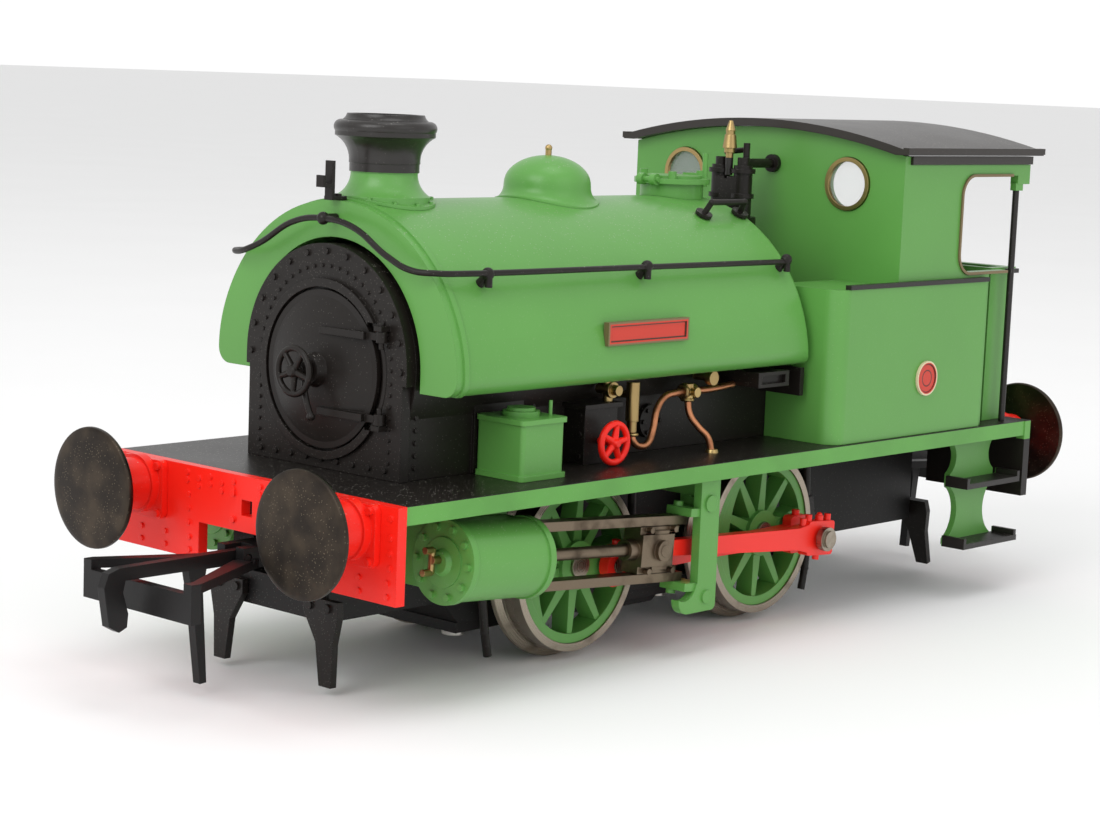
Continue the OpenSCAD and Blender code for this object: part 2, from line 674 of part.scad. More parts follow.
module side_bunkers() {
    x0 = -33.1;
    x1 = -10.4;
    color(green) both() {
        difference() {
            translate([0, 0, foot_z + 0.02]) linear_extrude(height = bunker_z - foot_z - 0.02) union() {
                round_rect(x0, x1 - 0.1, 8.4, bunker_w, 1.6);
                translate([x0, 8.4]) square([4, bunker_w - 8.4]);
                translate([x1 - 4, 8.4]) square([3.9, 3]);
            }
            box(cab_front - 0.83, cab_front + 0.03, 7, cab_w + 0.03, 10, 40);
            box(-40, cab_front, 7, cab_w + 0.03, 10, 40);
            box(-18.8, x1 - 0.7, 9.1, bunker_w - 0.7, 10, bunker_z - 0.7);
            disc_x(cab_front, 0, 0, boiler_z, 9.12);
        }
    }
    color(black) both() box(x0 - 0.2, x1 - 1.4, cab_w + 0.05, bunker_w + 0.15, bunker_z + 0.01,
        bunker_z + 0.4);
}

module window_glazing() {
    color([0.8, 0.88, 0.9, 0.5]) for (s = [-1, 1]) disc_x(cab_front - 0.34, cab_front - 0.1, s * 9.3,
        38, 2.36);
}

module backhead() {
    x = cab_front - 0.85;
    color(black) {
        difference() {
            along_x(x - 1.4, x) {
                translate([0, boiler_z]) circle(r = 7.4);
                translate([-7, foot_z + 0.02]) square([14, boiler_z - foot_z]);
            }
            disc_x(x - 2, x - 1.15, 0, 21, 2.1);
        }
        disc_x(x - 1.6, x - 1.1, 0, 21, 1.6);
        box(x - 1.75, x - 1.3, -0.3, 2.6, 20.8, 21.2);
        bar([x - 1.3, 0, 28.5], [x - 2.6, 0, 28.5], 0.3);
        bar([x - 2.5, -2.4, 27.6], [x - 2.5, 2.4, 29.4], 0.24);
        for (s = [-1, 1]) {
            bar([x - 2, s * 3.6, 24], [x - 2, s * 3.6, 28], 0.28);
            for (z = [24.2, 27.8]) bar([x - 1.2, s * 3.6, z], [x - 2.1, s * 3.6, z], 0.35);
        }
        for (y = [-2.2, 0, 2.2]) disc_x(x - 1.7, x - 1.3, y, 30.2, 0.9);
        bar([x - 3.4, 6.6, 17], [x - 3.4, 6.6, 24], 0.3);
        box(x - 4, x - 1.2, 6, 7, foot_z + 0.62, 18);
    }
}

module sandboxes() {
    color(green) both() {
        translate([0, 0, foot_z + 0.02]) linear_extrude(height = 4.4) round_rect(21.3, 26, 8.65, 13.55, 0.35);
        for (z = [foot_z + 0.02, foot_z + 4.3])
            translate([0, 0, z]) linear_extrude(height = 0.4) round_rect(21.1, 26.2, 8.63, 13.75, 0.4);
        disc_z(23.7, 11.1, foot_z + 4.6, foot_z + 5.1, 1.45);
        disc_z(23.7, 11.1, foot_z + 5, foot_z + 5.35, 1.1);
        disc_z(22, 12.6, foot_z + 4.6, foot_z + 5.9, 0.14);
    }
}

module handwheels() {
    y = 12.2;
    color(red) both() translate([13.9, y, 17.9]) rotate([-90, 0, 0]) {
        difference() {
            translate([0, 0, -0.25]) cylinder(h = 0.5, r = 1.6);
            for (i = [0 : 5]) rotate([0, 0, 60 * i]) translate([0.92, 0, -1]) cylinder(h = 2, r = 0.36);
        }
        rotate_extrude() translate([1.55, 0]) circle(r = 0.28, $fn = 20);
        translate([0, 0, -1.57]) cylinder(h = 2.2, r = 0.32);
    }
}

module copper_pipes() {
    color(copper) both() {
        wire([[9.5, 10.2, 18.17], [9.3, 10.3, 17.4], [8.7, 10.5, 16.95], [7.9, 10.6, 17], [7.3, 10.6, 17.7],
            [6.8, 10.5, 19.3], [6.2, 10.4, 20.5], [5.3, 10.4, 21], [3.4, 10.4, 21.1], [0, 10.3, 21],
            [-3.35, 10.3, 21.3]], 0.3);
        bar([2.7, 10.4, 20.2], [2.7, 10.4, 21.6], 0.55);
        bar([3.5, 10.4, 21.1], [1.9, 10.4, 21.05], 0.6);
        wire([[2.7, 10.4, 20.3], [2.6, 10.7, 19.2], [1.6, 11.4, 17.6], [1.2, 11.8, 16.9],
            [1.1, 12, foot_z + 0.02]], 0.3);
        disc_z(1.1, 12, foot_z + 0.02, foot_z + 0.3, 0.6);
    }
}

module cylinders() {
    color(green) on_stroke() both() {
        difference() {
            union() {
                disc_x(cyl_back, cyl_front, stroke_y, 0, 3.05);
                disc_x(cyl_back, cyl_back + 0.6, stroke_y, 0, 3.2);
                disc_x(cyl_front - 0.6, cyl_front, stroke_y, 0, 3.2);
                box(cyl_back + 0.4, cyl_front - 0.4, 8.3, stroke_y, -2.3, 3);
                disc_x(cyl_front - 0.1, cyl_front + 0.12, stroke_y, 0, 1.9);
                cone_x(cyl_front, cyl_front + 0.5, stroke_y, 0, 1.1, 0.8);
                for (i = [0 : 9]) disc_x(cyl_front - 0.1, cyl_front + 0.3,
                    stroke_y + 2.65 * cos(36 * i), 2.65 * sin(36 * i), 0.27);
                disc_x(cyl_back - 0.9, cyl_back + 0.1, stroke_y, 0, 1.05);
            }
            disc_x(cyl_back + 0.5, cyl_front - 0.7, stroke_y, 0, 2.12);
            disc_x(cyl_back - 2, cyl_back + 1, stroke_y, 0, 0.56);
            disc_x(42.4, 45, stroke_y, 0.2, 0.32);
            for (s = [-1, 1]) box(cyl_back - 1, cyl_back + 0.15, stroke_y - 0.75, stroke_y + 0.75,
                s > 0 ? 1.9 : -2.75, s > 0 ? 2.75 : -1.9);
        }
    }
    color(green) both() difference() {
        box(25.2, 33, 6.45, 11.4, 9, foot_z - 0.85);
        on_stroke() disc_x(30, 45, stroke_y, 0, 3.35);
        on_stroke() box(30, 45, 8.2, stroke_y, -4, 3.05);
    }
}

module slide_bars() {
    color(steel) on_stroke() both() for (s = [-1, 1])
        box(15.6, cyl_back + 0.12, stroke_y - 0.7, stroke_y + 0.7, s > 0 ? 1.95 : -2.7,
            s > 0 ? 2.7 : -1.95);
}

module motion_brackets() {
    color(green) both() {
        difference() {
            along_y(14.45, 15.25) difference() {
                union() {
                    round_rect(3.9, 6.3, 3.7, foot_z - 1.42, 0.5);
                    round_rect(3.9, 8.6, 3.7, 6.1, 1.15);
                    translate([3.9, foot_z - 2.4]) square([2.4, 0.98]);
                }
                translate([7.9, 6.3]) circle(r = 1.5);
            }
        }
        box(4, 5.1, 6.45, 15.1, 13, foot_z - 0.85);
        difference() {
            box(4, 4.9, 11.9, 15, 11.4, 13.2);
            disc_x(3, 7, 11.9, 11.3, 1);
        }
        disc_x(4.9, 5.3, 13.2, 12.2, 0.8);
        on_stroke() {
            for (s = [-1, 1]) {
                box(14.3, 16.6, stroke_y - 0.7, 15.1, s > 0 ? 2.72 : -3.4, s > 0 ? 3.4 : -2.72);
                disc_z(16, stroke_y, s > 0 ? 3.3 : -3.8, s > 0 ? 3.8 : -3.3, 0.4);
            }
        }
        disc_y(5.1, 15.2, 15.42, 12.6, 0.7);
        disc_y(5.2, 15.2, 15.42, 4.9, 0.55);
    }
}

module brake_gear() {
    color(black) both() {
        for (x = [rear_x, front_x]) {
            difference() {
                intersection() {
                    disc_y(x, 8.1, 9.3, axle_z, tread_d / 2 + 1.3);
                    box(x - 9, x - 6.2, 8, 9.4, 5.2, 10.2);
                }
                disc_y(x, 8, 9.4, axle_z, tread_d / 2 + 0.35);
            }
            bar([x - 7.95, 8.7, 7.6], [x - 7.6, 8.7, 14.4], 0.35);
            bar([x - 8, 8.7, 6], [x - 7.9, 5.95, 4.4], 0.3);
            bar([x - 7.9, 5.53, 4.4], [x - 7.9, 6, 4.4], 0.34);
            box(x - 8.2, x - 7, 6.4, 9.2, 14.2, foot_z - 0.85);
        }
        bar([rear_x - 8.1, 5.95, 4.4], [front_x - 7.7, 5.95, 4.4], 0.24);
    }
}

// A tapered leg that hangs from the end of the chassis in front of the rail, leaning by an angle.
module guard_leg(lean) {
    translate([38.42, 0, 7]) rotate([0, -lean, 0]) {
        along_x(-0.3, 0.3) polygon([[3.5, 0.3], [7.2, 0.3], [7.3, -0.8], [6.8, -3], [6.7, -6.3],
            [5.4, -6.3],
            [4.9, -3], [3.5, -0.8]]);
        for (y = [4.2, 6.2]) disc_x(0.25, 0.5, y, -0.3, 0.35);
    }
}
module guard_irons() {
    color(black) both() {
        wire([[24.6, 7.2, 11.8], [24.6, 8.2, 8.4], [23.9, 8.3, 3.2], [23.5, 8.3, 1.3]], 0.34);
        box(24.1, 25.1, 5.52, 7.5, 11.4, 12.15);
        wire([[-18.4, 7.2, 11.8], [-18.4, 8.2, 8.4], [-17.7, 8.3, 3.4], [-17.3, 8.3, 1.5]], 0.34);
        box(-18.9, -17.9, 5.52, 7.5, 11.4, 12.15);
        guard_leg(0);
        mirror([1, 0, 0]) guard_leg(lean_out);
    }
}

module cab_steps() {
    color(green) both() {
        difference() {
            box(-38.6, -31.4, 13.6, 14.2, 4.9, foot_z - 0.82);
            for (x = [-29.9, -40.1]) disc_y(x, 13, 15, 7.9, 2.9);
            for (x = [-30.6, -39.4]) disc_y(x, 13, 15, 13, 1.7);
        }
    }
    color(black) both() {
        box(-39.5, -30.7, 14.15, 16.6, 10.45, 10.95);
        box(-39.6, -30.8, 14.15, 16.6, 4.85, 5.35);
        for (z = [10.45, 4.85]) box(-39.5, -39.1, 14.15, 16.6, z, z + 1);
        for (z = [10.45, 4.85]) box(-31.1, -30.7, 14.15, 16.6, z, z + 1);
    }
}

module nameplates() {
    color(red) both() {
        difference() {
            box(6.9, 16.7, tank_w - 0.35, tank_w + 0.2, 25.9, 27.75);
            box(7.2, 16.4, tank_w + 0.08, tank_w + 1, 26.2, 27.45);
            along_x(0, 20) tank_outline(-0.02);
        }
        difference() {
            disc_y(-24, bunker_w + 0.01, bunker_w + 0.25, 21.1, 1.55);
            disc_y(-24, bunker_w + 0.17, bunker_w + 1, 21.1, 1.3);
        }
    }
}

module buffer_housings() {
    color(red) for (s = [0, 1]) mirror([s, 0, 0]) both() {
        difference() {
            union() {
                along_x(half_len + 0.02, half_len + 0.6) round_rect(buffer_y - 2.6, buffer_y + 2.6,
                    buffer_z - 2.6, buffer_z + 2, 0.6);
                disc_x(half_len + 0.5, half_len + 1.3, buffer_y, buffer_z, 2.3);
                cone_x(half_len + 1.2, half_len + 3.6, buffer_y, buffer_z, 2.1, 1.8);
                for (a = [-1, 1]) for (b = [-1, 1])
                    disc_x(half_len + 0.5, half_len + 0.9, buffer_y + 2.1 * a,
                        buffer_z - 0.3 + 1.85 * b, 0.3);
            }
            disc_x(half_len + 0.8, half_len + 5, buffer_y, buffer_z, 1.38);
        }
    }
}

module buffer() {
    x = half_len;
    color(steel) {
        disc_x(x + 2, x + 4.8, 0, 0, 1.3);
        cone_x(x + 4.5, x + 4.9, 0, 0, 1.5, 3.2);
        disc_x(x + 4.85, x + 5.5, 0, 0, head_r);
        disc_x(x + 5.45, x + 5.6, 0, 0, head_r - 0.25);
    }
}

module wheel_centre() {
    w0 = wheel_in + 0.35;
    ri = tread_d / 2 - 0.75;
    difference() {
        union() {
            difference() {
                disc_y(0, w0, wheel_out - 0.15, 0, ri + 0.02);
                disc_y(0, w0 - 1, wheel_out + 1, 0, ri - 0.75);
            }
            for (i = [0 : spokes - 1]) rotate([0, 360 / spokes * (i + 0.5), 0]) along_y(w0 + 0.3,
                wheel_out - 0.3)
                polygon([[1.5, -0.5], [ri - 0.55, -0.28], [ri - 0.55, 0.28], [1.5, 0.5]]);
            disc_y(0, w0, wheel_out + 0.1, 0, 2);
            disc_y(-crank_r, w0 + 0.25, wheel_out + 0.1, 0, 1.65);
            along_y(w0 + 0.2, wheel_out + 0.02) polygon([[0, -1.6], [-crank_r, -1.2], [-crank_r, 1.2],
                [0, 1.6]]);
            intersection() {
                disc_y(0, w0 + 0.35, wheel_out - 0.2, 0, ri - 0.2);
                difference() {
                    box(0, 10, 0, 20, -4.9, 4.9);
                    disc_y(-4.8, 0, 20, 0, 9.2);
                }
            }
        }
        disc_y(0, 0, 20, 0, 1.02);
        disc_y(-crank_r, 0, 20, 0, 0.62);
    }
}
module wheel_pair(x, lead) {
    color(green) translate([x, 0, axle_z]) {
        rotate([0, -tilt, 0]) wheel_centre();
        mirror([0, 1, 0]) rotate([0, -tilt + lead, 0]) wheel_centre();
    }
}
module tyre() {
    difference() {
        translate([0, wheel_in, 0]) rotate([-90, 0, 0]) rotate_extrude($fn = 72) polygon([[0, 0],
            [flange_r - 0.15, 0],
            [flange_r, 0.2], [flange_r - 0.1, 0.5], [tread_d / 2 + 0.1, 0.8], [tread_d / 2, 1],
            [tread_d / 2 - 0.08, wheel_w], [0, wheel_w]]);
        disc_y(0, 0, 20, 0, tread_d / 2 - 0.72);
    }
}
module tyre_pair(x, lead, pin_end) {
    color(steel) translate([x, 0, axle_z]) {
        both() tyre();
        disc_y(0, -wheel_out - 0.35, wheel_out + 0.35, 0, 1);
        rotate([0, -tilt, 0]) crank_pin(pin_end);
        mirror([0, 1, 0]) rotate([0, -tilt + lead, 0]) crank_pin(pin_end);
    }
}
module crank_pin(pin_end) {
    disc_y(-crank_r, wheel_in + 0.6, rod_y + 1.02, 0, 0.6);
    if (pin_end > rod_y + 2) {
        disc_y(-crank_r, rod_y, pin_end, 0, 0.6);
        translate([-crank_r, pin_end - 0.5, 0]) rotate([-90, 0, 0]) cylinder(h = 0.6, r = 1.05);
        disc_y(-crank_r, pin_end, pin_end + 0.35, 0, 0.75);
    }
}
module rear_wheels() {
    wheel_pair(rear_x, 90);
}
module front_wheels() {
    wheel_pair(front_x, 90);
}
module rear_tyres() {
    tyre_pair(rear_x, 90, 14.45);
    color(brass) translate([rear_x, 0, axle_z]) rotate([0, gear_phase, 0]) gear(2);
}
module front_tyres() {
    tyre_pair(front_x, 90, 0);
}

// Coupling rod seen from outside, centred on the rear crank pin.
module coupling_rod() {
    y0 = rod_y;
    y1 = rod_y + 0.95;
    color(red) difference() {
        union() {
            for (x = [0, wheelbase]) {
                disc_y(x, y0, y1, 0, 1.45);
                along_y(y0, y1) translate([x, 0]) round_rect(-1.2, 1.2, -1.65, 1.65, 0.4);
                disc_z(x, (y0 + y1) / 2, 1.5, 2.1, 0.35);
            }
            along_y(y0, y1) polygon([[0.8, -0.85], [wheelbase / 2, -0.7], [wheelbase - 0.8, -0.85],
                [wheelbase - 0.8, 0.85], [wheelbase / 2, 0.7], [0.8, 0.85]]);
        }
        for (x = [0, wheelbase]) disc_y(x, 0, 20, 0, 0.66);
    }
}
module place_left() {
    translate([rear_x, 0, axle_z]) rotate([0, -tilt, 0]) translate([-crank_r, 0, 0]) rotate([0, tilt,
        0]) children();
}
module place_right() {
    translate([rear_x, 0, axle_z]) rotate([0, -tilt + 90, 0]) translate([-crank_r, 0, 0]) rotate([0,
        tilt - 90, 0])
        mirror([0, 1, 0]) children();
}
module coupling_rod_left() {
    place_left() coupling_rod();
}
module coupling_rod_right() {
    place_right() coupling_rod();
}

// Connecting rod along X from the crank pin centre, with a strapped big end.
module connecting_rod() {
    y0 = stroke_y - 0.5;
    y1 = stroke_y + 0.5;
    color(red) difference() {
        union() {
            disc_y(rod_len, y0, y1, 0, 1.15);
            along_y(y0, y1) polygon([[1.5, -1.3], [3.4, -0.95], [rod_len - 0.8, -0.62],
                [rod_len - 0.8, 0.62],
                [3.4, 0.95], [1.5, 1.3]]);
            along_y(y0, y1) round_rect(-1.7, 2, -1.5, 1.5, 0.3);
            for (x = [1.55, -1.2]) disc_z(x, stroke_y, 1.3, 2.05, 0.3);
            disc_z(2.3, stroke_y, 0.9, 1.75, 0.3);
            disc_z(0, stroke_y, 1.4, 1.95, 0.36);
            translate([0, stroke_y, 1.95]) sphere(r = 0.27);
            disc_z(0, stroke_y, -1.95, -1.4, 0.3);
        }
        disc_y(0, 0, 20, 0, 0.8);
        disc_y(rod_len, 0, 20, 0, 0.54);
        disc_x(rod_len + 0.4, rod_len + 2, stroke_y, 0, 0.23);
    }
}
module rod_bolt() {
    color(steel) {
        disc_x(rod_len + 0.7, rod_len + 1.25, stroke_y, 0, 0.2);
        disc_x(rod_len + 1.18, rod_len + 1.42, stroke_y, 0, 0.36);
    }
}
module connecting_rod_left() {
    place_left() rotate([0, -tilt, 0]) translate([-slack, 0, 0]) connecting_rod();
}
module connecting_rod_right() {
    place_right() rotate([0, -tilt, 0]) translate([slack, 0, 0]) rotate([0, lean, 0]) connecting_rod();
}
module rod_bolt_left() {
    place_left() rotate([0, -tilt, 0]) translate([-slack, 0, 0]) rod_bolt();
}
module rod_bolt_right() {
    place_right() rotate([0, -tilt, 0]) translate([slack, 0, 0]) rotate([0, lean, 0]) rod_bolt();
}

// Crosshead and piston, centred on the gudgeon pin; X along the stroke.
module crosshead() {
    y0 = stroke_y - 0.95;
    y1 = stroke_y + 0.7;
    color(steel) {
        for (s = [-1, 1]) box(-2.4, 2.4, y0, y1 + 0.05, s > 0 ? 1.38 : -1.9, s > 0 ? 1.9 : -1.38);
        box(1.75, 2.4, y0, y1 + 0.05, -1.5, 1.5);
        box(-1.5, 2.4, y1 - 0.02, y1 + 0.4, -1.3, 1.3);
        for (s = [-1, 1]) box(-0.9, 0.9, y1 - 0.02, y1 + 0.3, s > 0 ? 1.2 : -1.6, s > 0 ? 1.6 : -1.2);
        disc_y(0, stroke_y - 0.95, y1 + 0.85, 0, 0.5);
        disc_y(0, y1 + 0.3, y1 + 0.8, 0, 0.85);
        for (a = [[1, -1], [-1, 1], [-1, -1]])
            disc_y((bolt_x - pin_x) * a[0], y1, y1 + 0.55, bolt_z * a[1], 0.25);
        difference() {
            disc_x(2.35, 3.4, stroke_y, 0, 0.85);
            disc_x(2.42, 4, stroke_y, 0, 0.53);
        }
    }
}
module piston() {
    color(steel) {
        disc_x(2.45, 15.6, stroke_y, 0, 0.5);
        disc_x(15.5, 16.15, stroke_y, 0, 2);
    }
}
module crosshead_bolt() {
    color(steel) disc_y(bolt_x, stroke_y + 0.77, stroke_y + 1.25, bolt_z, 0.25);
}
module crosshead_left() {
    on_stroke() translate([pin_x, 0, 0]) crosshead();
}
module crosshead_right() {
    on_stroke() translate([pin_x + crank_r, 0, 0]) mirror([0, 1, 0]) crosshead();
}
module piston_left() {
    on_stroke() translate([pin_x, 0, 0]) piston();
}
module piston_right() {
    on_stroke() translate([pin_x + crank_r, 0, 0]) mirror([0, 1, 0]) piston();
}
module crosshead_bolt_left() {
    on_stroke() crosshead_bolt();
}
module crosshead_bolt_right() {
    on_stroke() translate([crank_r, 0, 0]) mirror([0, 1, 0]) crosshead_bolt();
}

module buffer_front_left() {
    translate([0, buffer_y, buffer_z]) buffer();
}
module buffer_front_right() {
    translate([0, -buffer_y, buffer_z]) buffer();
}
module buffer_rear_left() {
    mirror([1, 0, 0]) translate([0, buffer_y, buffer_z]) buffer();
}
module buffer_rear_right() {
    mirror([1, 0, 0]) translate([0, -buffer_y, buffer_z]) buffer();
}

// Automatic coupling: a wide bar on a swivelling pocket and a lifting hook with a dropper.
module coupling_bar() {
    color(black) {
        difference() {
            union() {
                disc_z(35.5, 0, 9.2, 11.2, 1.7);
                box(35.5, 43, -1.5, 1.5, 9.4, 11);
                both() translate([0, 0, 9.4]) linear_extrude(height = 0.7)
                    polygon([[41.5, 0.7], [41.5, 1.5], [51, 6.2], [51, 5.3], [43.5, 0.9]]);
            }
            disc_z(35.5, 0, 5, 15, 0.7);
            box(41.4, 45, -0.62, 0.62, 5, 15);
            disc_y(42.5, -2, 2, 10.2, 0.36);
        }
        both() box(50.9, 51.8, 5.3, 6.2, 7.2, 10.1);
        box(51, 51.8, -6.2, 6.2, 7.2, 9.35);
    }
}
module coupling_hook() {
    color(black) {
        along_y(-0.4, 0.4) polygon([[41.9, 9.7], [43, 9.6], [45.6, 9.6], [45.9, 8], [45.4, 1],
            [46, 0.95], [46.9, 7.8],
            [47.3, 9.65], [53.1, 9.65], [53.3, 8.8], [52.8, 7.2], [52.9, 6.2], [53.6, 5.9],
                [54.5, 6.4], [55, 9.3],
            [54.6, 10.3], [53.6, 10.6], [43, 10.7], [41.9, 10.7]]);
        disc_y(42.5, -1.45, 1.45, 10.2, 0.3);
    }
}
module coupling_bar_front() {
    coupling_bar();
}
module coupling_bar_rear() {
    mirror([1, 0, 0]) coupling_bar();
}
module coupling_hook_front() {
    coupling_hook();
}
module coupling_hook_rear() {
    mirror([1, 0, 0]) coupling_hook();
}

chassis_block();
keeper_plate();
motor_can();
circuit_board();
body_screws();
footplate();
front_beam();
saddle_tank();
boiler_firebox();
smokebox_front();
chimney();
dome();
brass_fittings();
tank_filler();
steam_fitting();
handrails();
lamp_irons();
cab_body();
cab_roof();
side_bunkers();
window_glazing();
backhead();
sandboxes();
handwheels();
copper_pipes();
cylinders();
slide_bars();
motion_brackets();
brake_gear();
guard_irons();
cab_steps();
nameplates();
buffer_housings();
rear_wheels();
rear_tyres();
front_wheels();
front_tyres();
coupling_rod_left();
coupling_rod_right();
crosshead_bolt_left();
crosshead_bolt_right();
crosshead_left();
crosshead_right();
piston_left();
piston_right();
rod_bolt_left();
rod_bolt_right();
connecting_rod_left();
connecting_rod_right();
armature();
buffer_front_left();
buffer_front_right();
buffer_rear_left();
buffer_rear_right();
coupling_bar_front();
coupling_bar_rear();
coupling_hook_front();
coupling_hook_rear();
smokebox_door();
door_handwheel();
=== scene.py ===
import math

import bmesh
import bpy
from mathutils import Matrix, Vector


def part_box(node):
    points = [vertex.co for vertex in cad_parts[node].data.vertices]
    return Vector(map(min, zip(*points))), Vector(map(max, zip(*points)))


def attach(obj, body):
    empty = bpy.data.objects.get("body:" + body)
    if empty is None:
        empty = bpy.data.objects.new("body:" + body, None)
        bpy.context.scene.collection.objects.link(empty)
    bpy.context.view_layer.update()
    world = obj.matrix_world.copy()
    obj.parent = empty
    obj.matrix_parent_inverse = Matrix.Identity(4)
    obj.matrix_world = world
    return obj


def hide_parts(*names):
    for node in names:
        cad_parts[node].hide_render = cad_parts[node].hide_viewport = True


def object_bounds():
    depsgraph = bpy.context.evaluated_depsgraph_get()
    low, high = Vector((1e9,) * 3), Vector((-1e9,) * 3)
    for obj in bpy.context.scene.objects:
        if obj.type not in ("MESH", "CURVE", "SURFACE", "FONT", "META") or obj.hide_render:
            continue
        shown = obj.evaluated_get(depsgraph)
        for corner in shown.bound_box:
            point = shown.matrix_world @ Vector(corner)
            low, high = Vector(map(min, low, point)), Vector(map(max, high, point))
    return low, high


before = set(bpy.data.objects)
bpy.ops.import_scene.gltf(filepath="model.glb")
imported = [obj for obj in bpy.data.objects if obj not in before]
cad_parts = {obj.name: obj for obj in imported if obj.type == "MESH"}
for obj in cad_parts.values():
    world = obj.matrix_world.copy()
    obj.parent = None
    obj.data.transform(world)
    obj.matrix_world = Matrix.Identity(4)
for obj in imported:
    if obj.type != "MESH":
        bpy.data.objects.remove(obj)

bl_info = {
    "name": "Saddle Tank Shunter",
    "version": (1, 0, 0),
    "blender": (4, 5, 0),
    "location": "3D View > Sidebar > Shunter",
    "description": "Paints and details a 4 mm scale saddle tank shunting engine",
    "category": "Object",
}

MM = 0.001
PREFIX = "shunter_"
CAD_BOUNDS = [list(corner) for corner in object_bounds()]
X, Y, Z = Vector((1, 0, 0)), Vector((0, 1, 0)), Vector((0, 0, 1))


def mm(x, y, z):
    """A point given in millimetres, in metres."""
    return Vector((x, y, z)) * MM


# Where the camera stands, in millimetres, and how it looks back at the engine, in degrees.
EYE = (164.24, 141.42, 47.04)
AZIMUTH, ELEVATION, ROLL = 42.69, 7.95, 2.21
FRAME_SHIFT = (0.0207, 0.0081)
SEEN_BACKGROUND = 1.02

# Sizes and colours that a user would change.


class ShunterPaint(bpy.types.PropertyGroup):
    """Colours and surface of the paint and metal."""

    green: bpy.props.FloatVectorProperty(
        name="Green", description="Body and wheel colour", subtype="COLOR", size=3,
        default=(0.112, 0.330, 0.066),
    )
    red: bpy.props.FloatVectorProperty(
        name="Red", description="Buffer beams and rods", subtype="COLOR", size=3,
        default=(0.98, 0.017, 0.008),
    )
    black: bpy.props.FloatVectorProperty(
        name="Black", description="Smokebox and footplate", subtype="COLOR", size=3,
        default=(0.012, 0.0095, 0.008),
    )
    peel: bpy.props.FloatProperty(
        name="Orange peel", description="Height of the ripple in sprayed paint", unit="LENGTH",
        default=0.006 * MM,
    )
    dust: bpy.props.FloatProperty(
        name="Dust", description="How much of the top surfaces carries specks", default=0.4, min=0, max=1
    )
    edge: bpy.props.FloatProperty(
        name="Edge radius", description="Softening seen on moulded edges", default=0.08 * MM, unit="LENGTH"
    )


class ShunterWire(bpy.types.PropertyGroup):
    """Sizes of handrails, pipes and small turned fittings."""

    rail: bpy.props.FloatProperty(
        name="Handrail radius", description="Radius of the handrail wire", default=0.24 * MM, unit="LENGTH"
    )
    knob: bpy.props.FloatProperty(
        name="Knob radius", description="Radius of a handrail knob", default=0.5 * MM, unit="LENGTH"
    )
    pipe: bpy.props.FloatProperty(
        name="Pipe radius", description="Radius of the copper pipes", default=0.29 * MM, unit="LENGTH"
    )
    spokes: bpy.props.IntProperty(
        name="Wheel spokes", description="Spokes in each handwheel", default=5
    )


class ShunterStage(bpy.types.PropertyGroup):
    """Camera, lights and floor."""

    lens: bpy.props.FloatProperty(
        name="Lens", description="Focal length in millimetres", default=82.63, min=10
    )
    key: bpy.props.FloatProperty(
        name="Key light", description="Power of the main softbox in watts", default=0.9
    )
    fill: bpy.props.FloatProperty(
        name="Fill light", description="Power of the top softbox in watts", default=0.55
    )
    room: bpy.props.FloatProperty(
        name="Room light", description="Strength of the surrounding light", default=0.82
    )
    floor: bpy.props.FloatVectorProperty(
        name="Floor", description="Colour of the floor", subtype="COLOR", size=3, default=(0.94, 0.94, 0.94)
    )


# Shader expressions and finishes.


class Value:
    """A node socket that adds Math nodes when it is used in a sum."""

    def __init__(self, finish, socket):
        self.finish = finish
        self.socket = socket

    def math(self, operation, first, second=0.0):
        return self.finish.node("ShaderNodeMath", [first, second], operation=operation)

    def __add__(self, other):
        return self.math("ADD", self, other)

    def __radd__(self, other):
        return self.math("ADD", other, self)

    def __sub__(self, other):
        return self.math("SUBTRACT", self, other)

    def __rsub__(self, other):
        return self.math("SUBTRACT", other, self)

    def __mul__(self, other):
        return self.math("MULTIPLY", self, other)

    def __rmul__(self, other):
        return self.math("MULTIPLY", other, self)

    def __pow__(self, other):
        return self.math("POWER", self, other)

    def __gt__(self, other):
        return self.math("GREATER_THAN", self, other)

    def __lt__(self, other):
        return self.math("LESS_THAN", self, other)

    def __abs__(self):
        return self.math("ABSOLUTE", self)

    def step(self, low, high):
        """0 below low and 1 above high, with a smooth rise between."""
        return self.finish.node("ShaderNodeMapRange", [self, low, high], interpolation_type="SMOOTHSTEP")


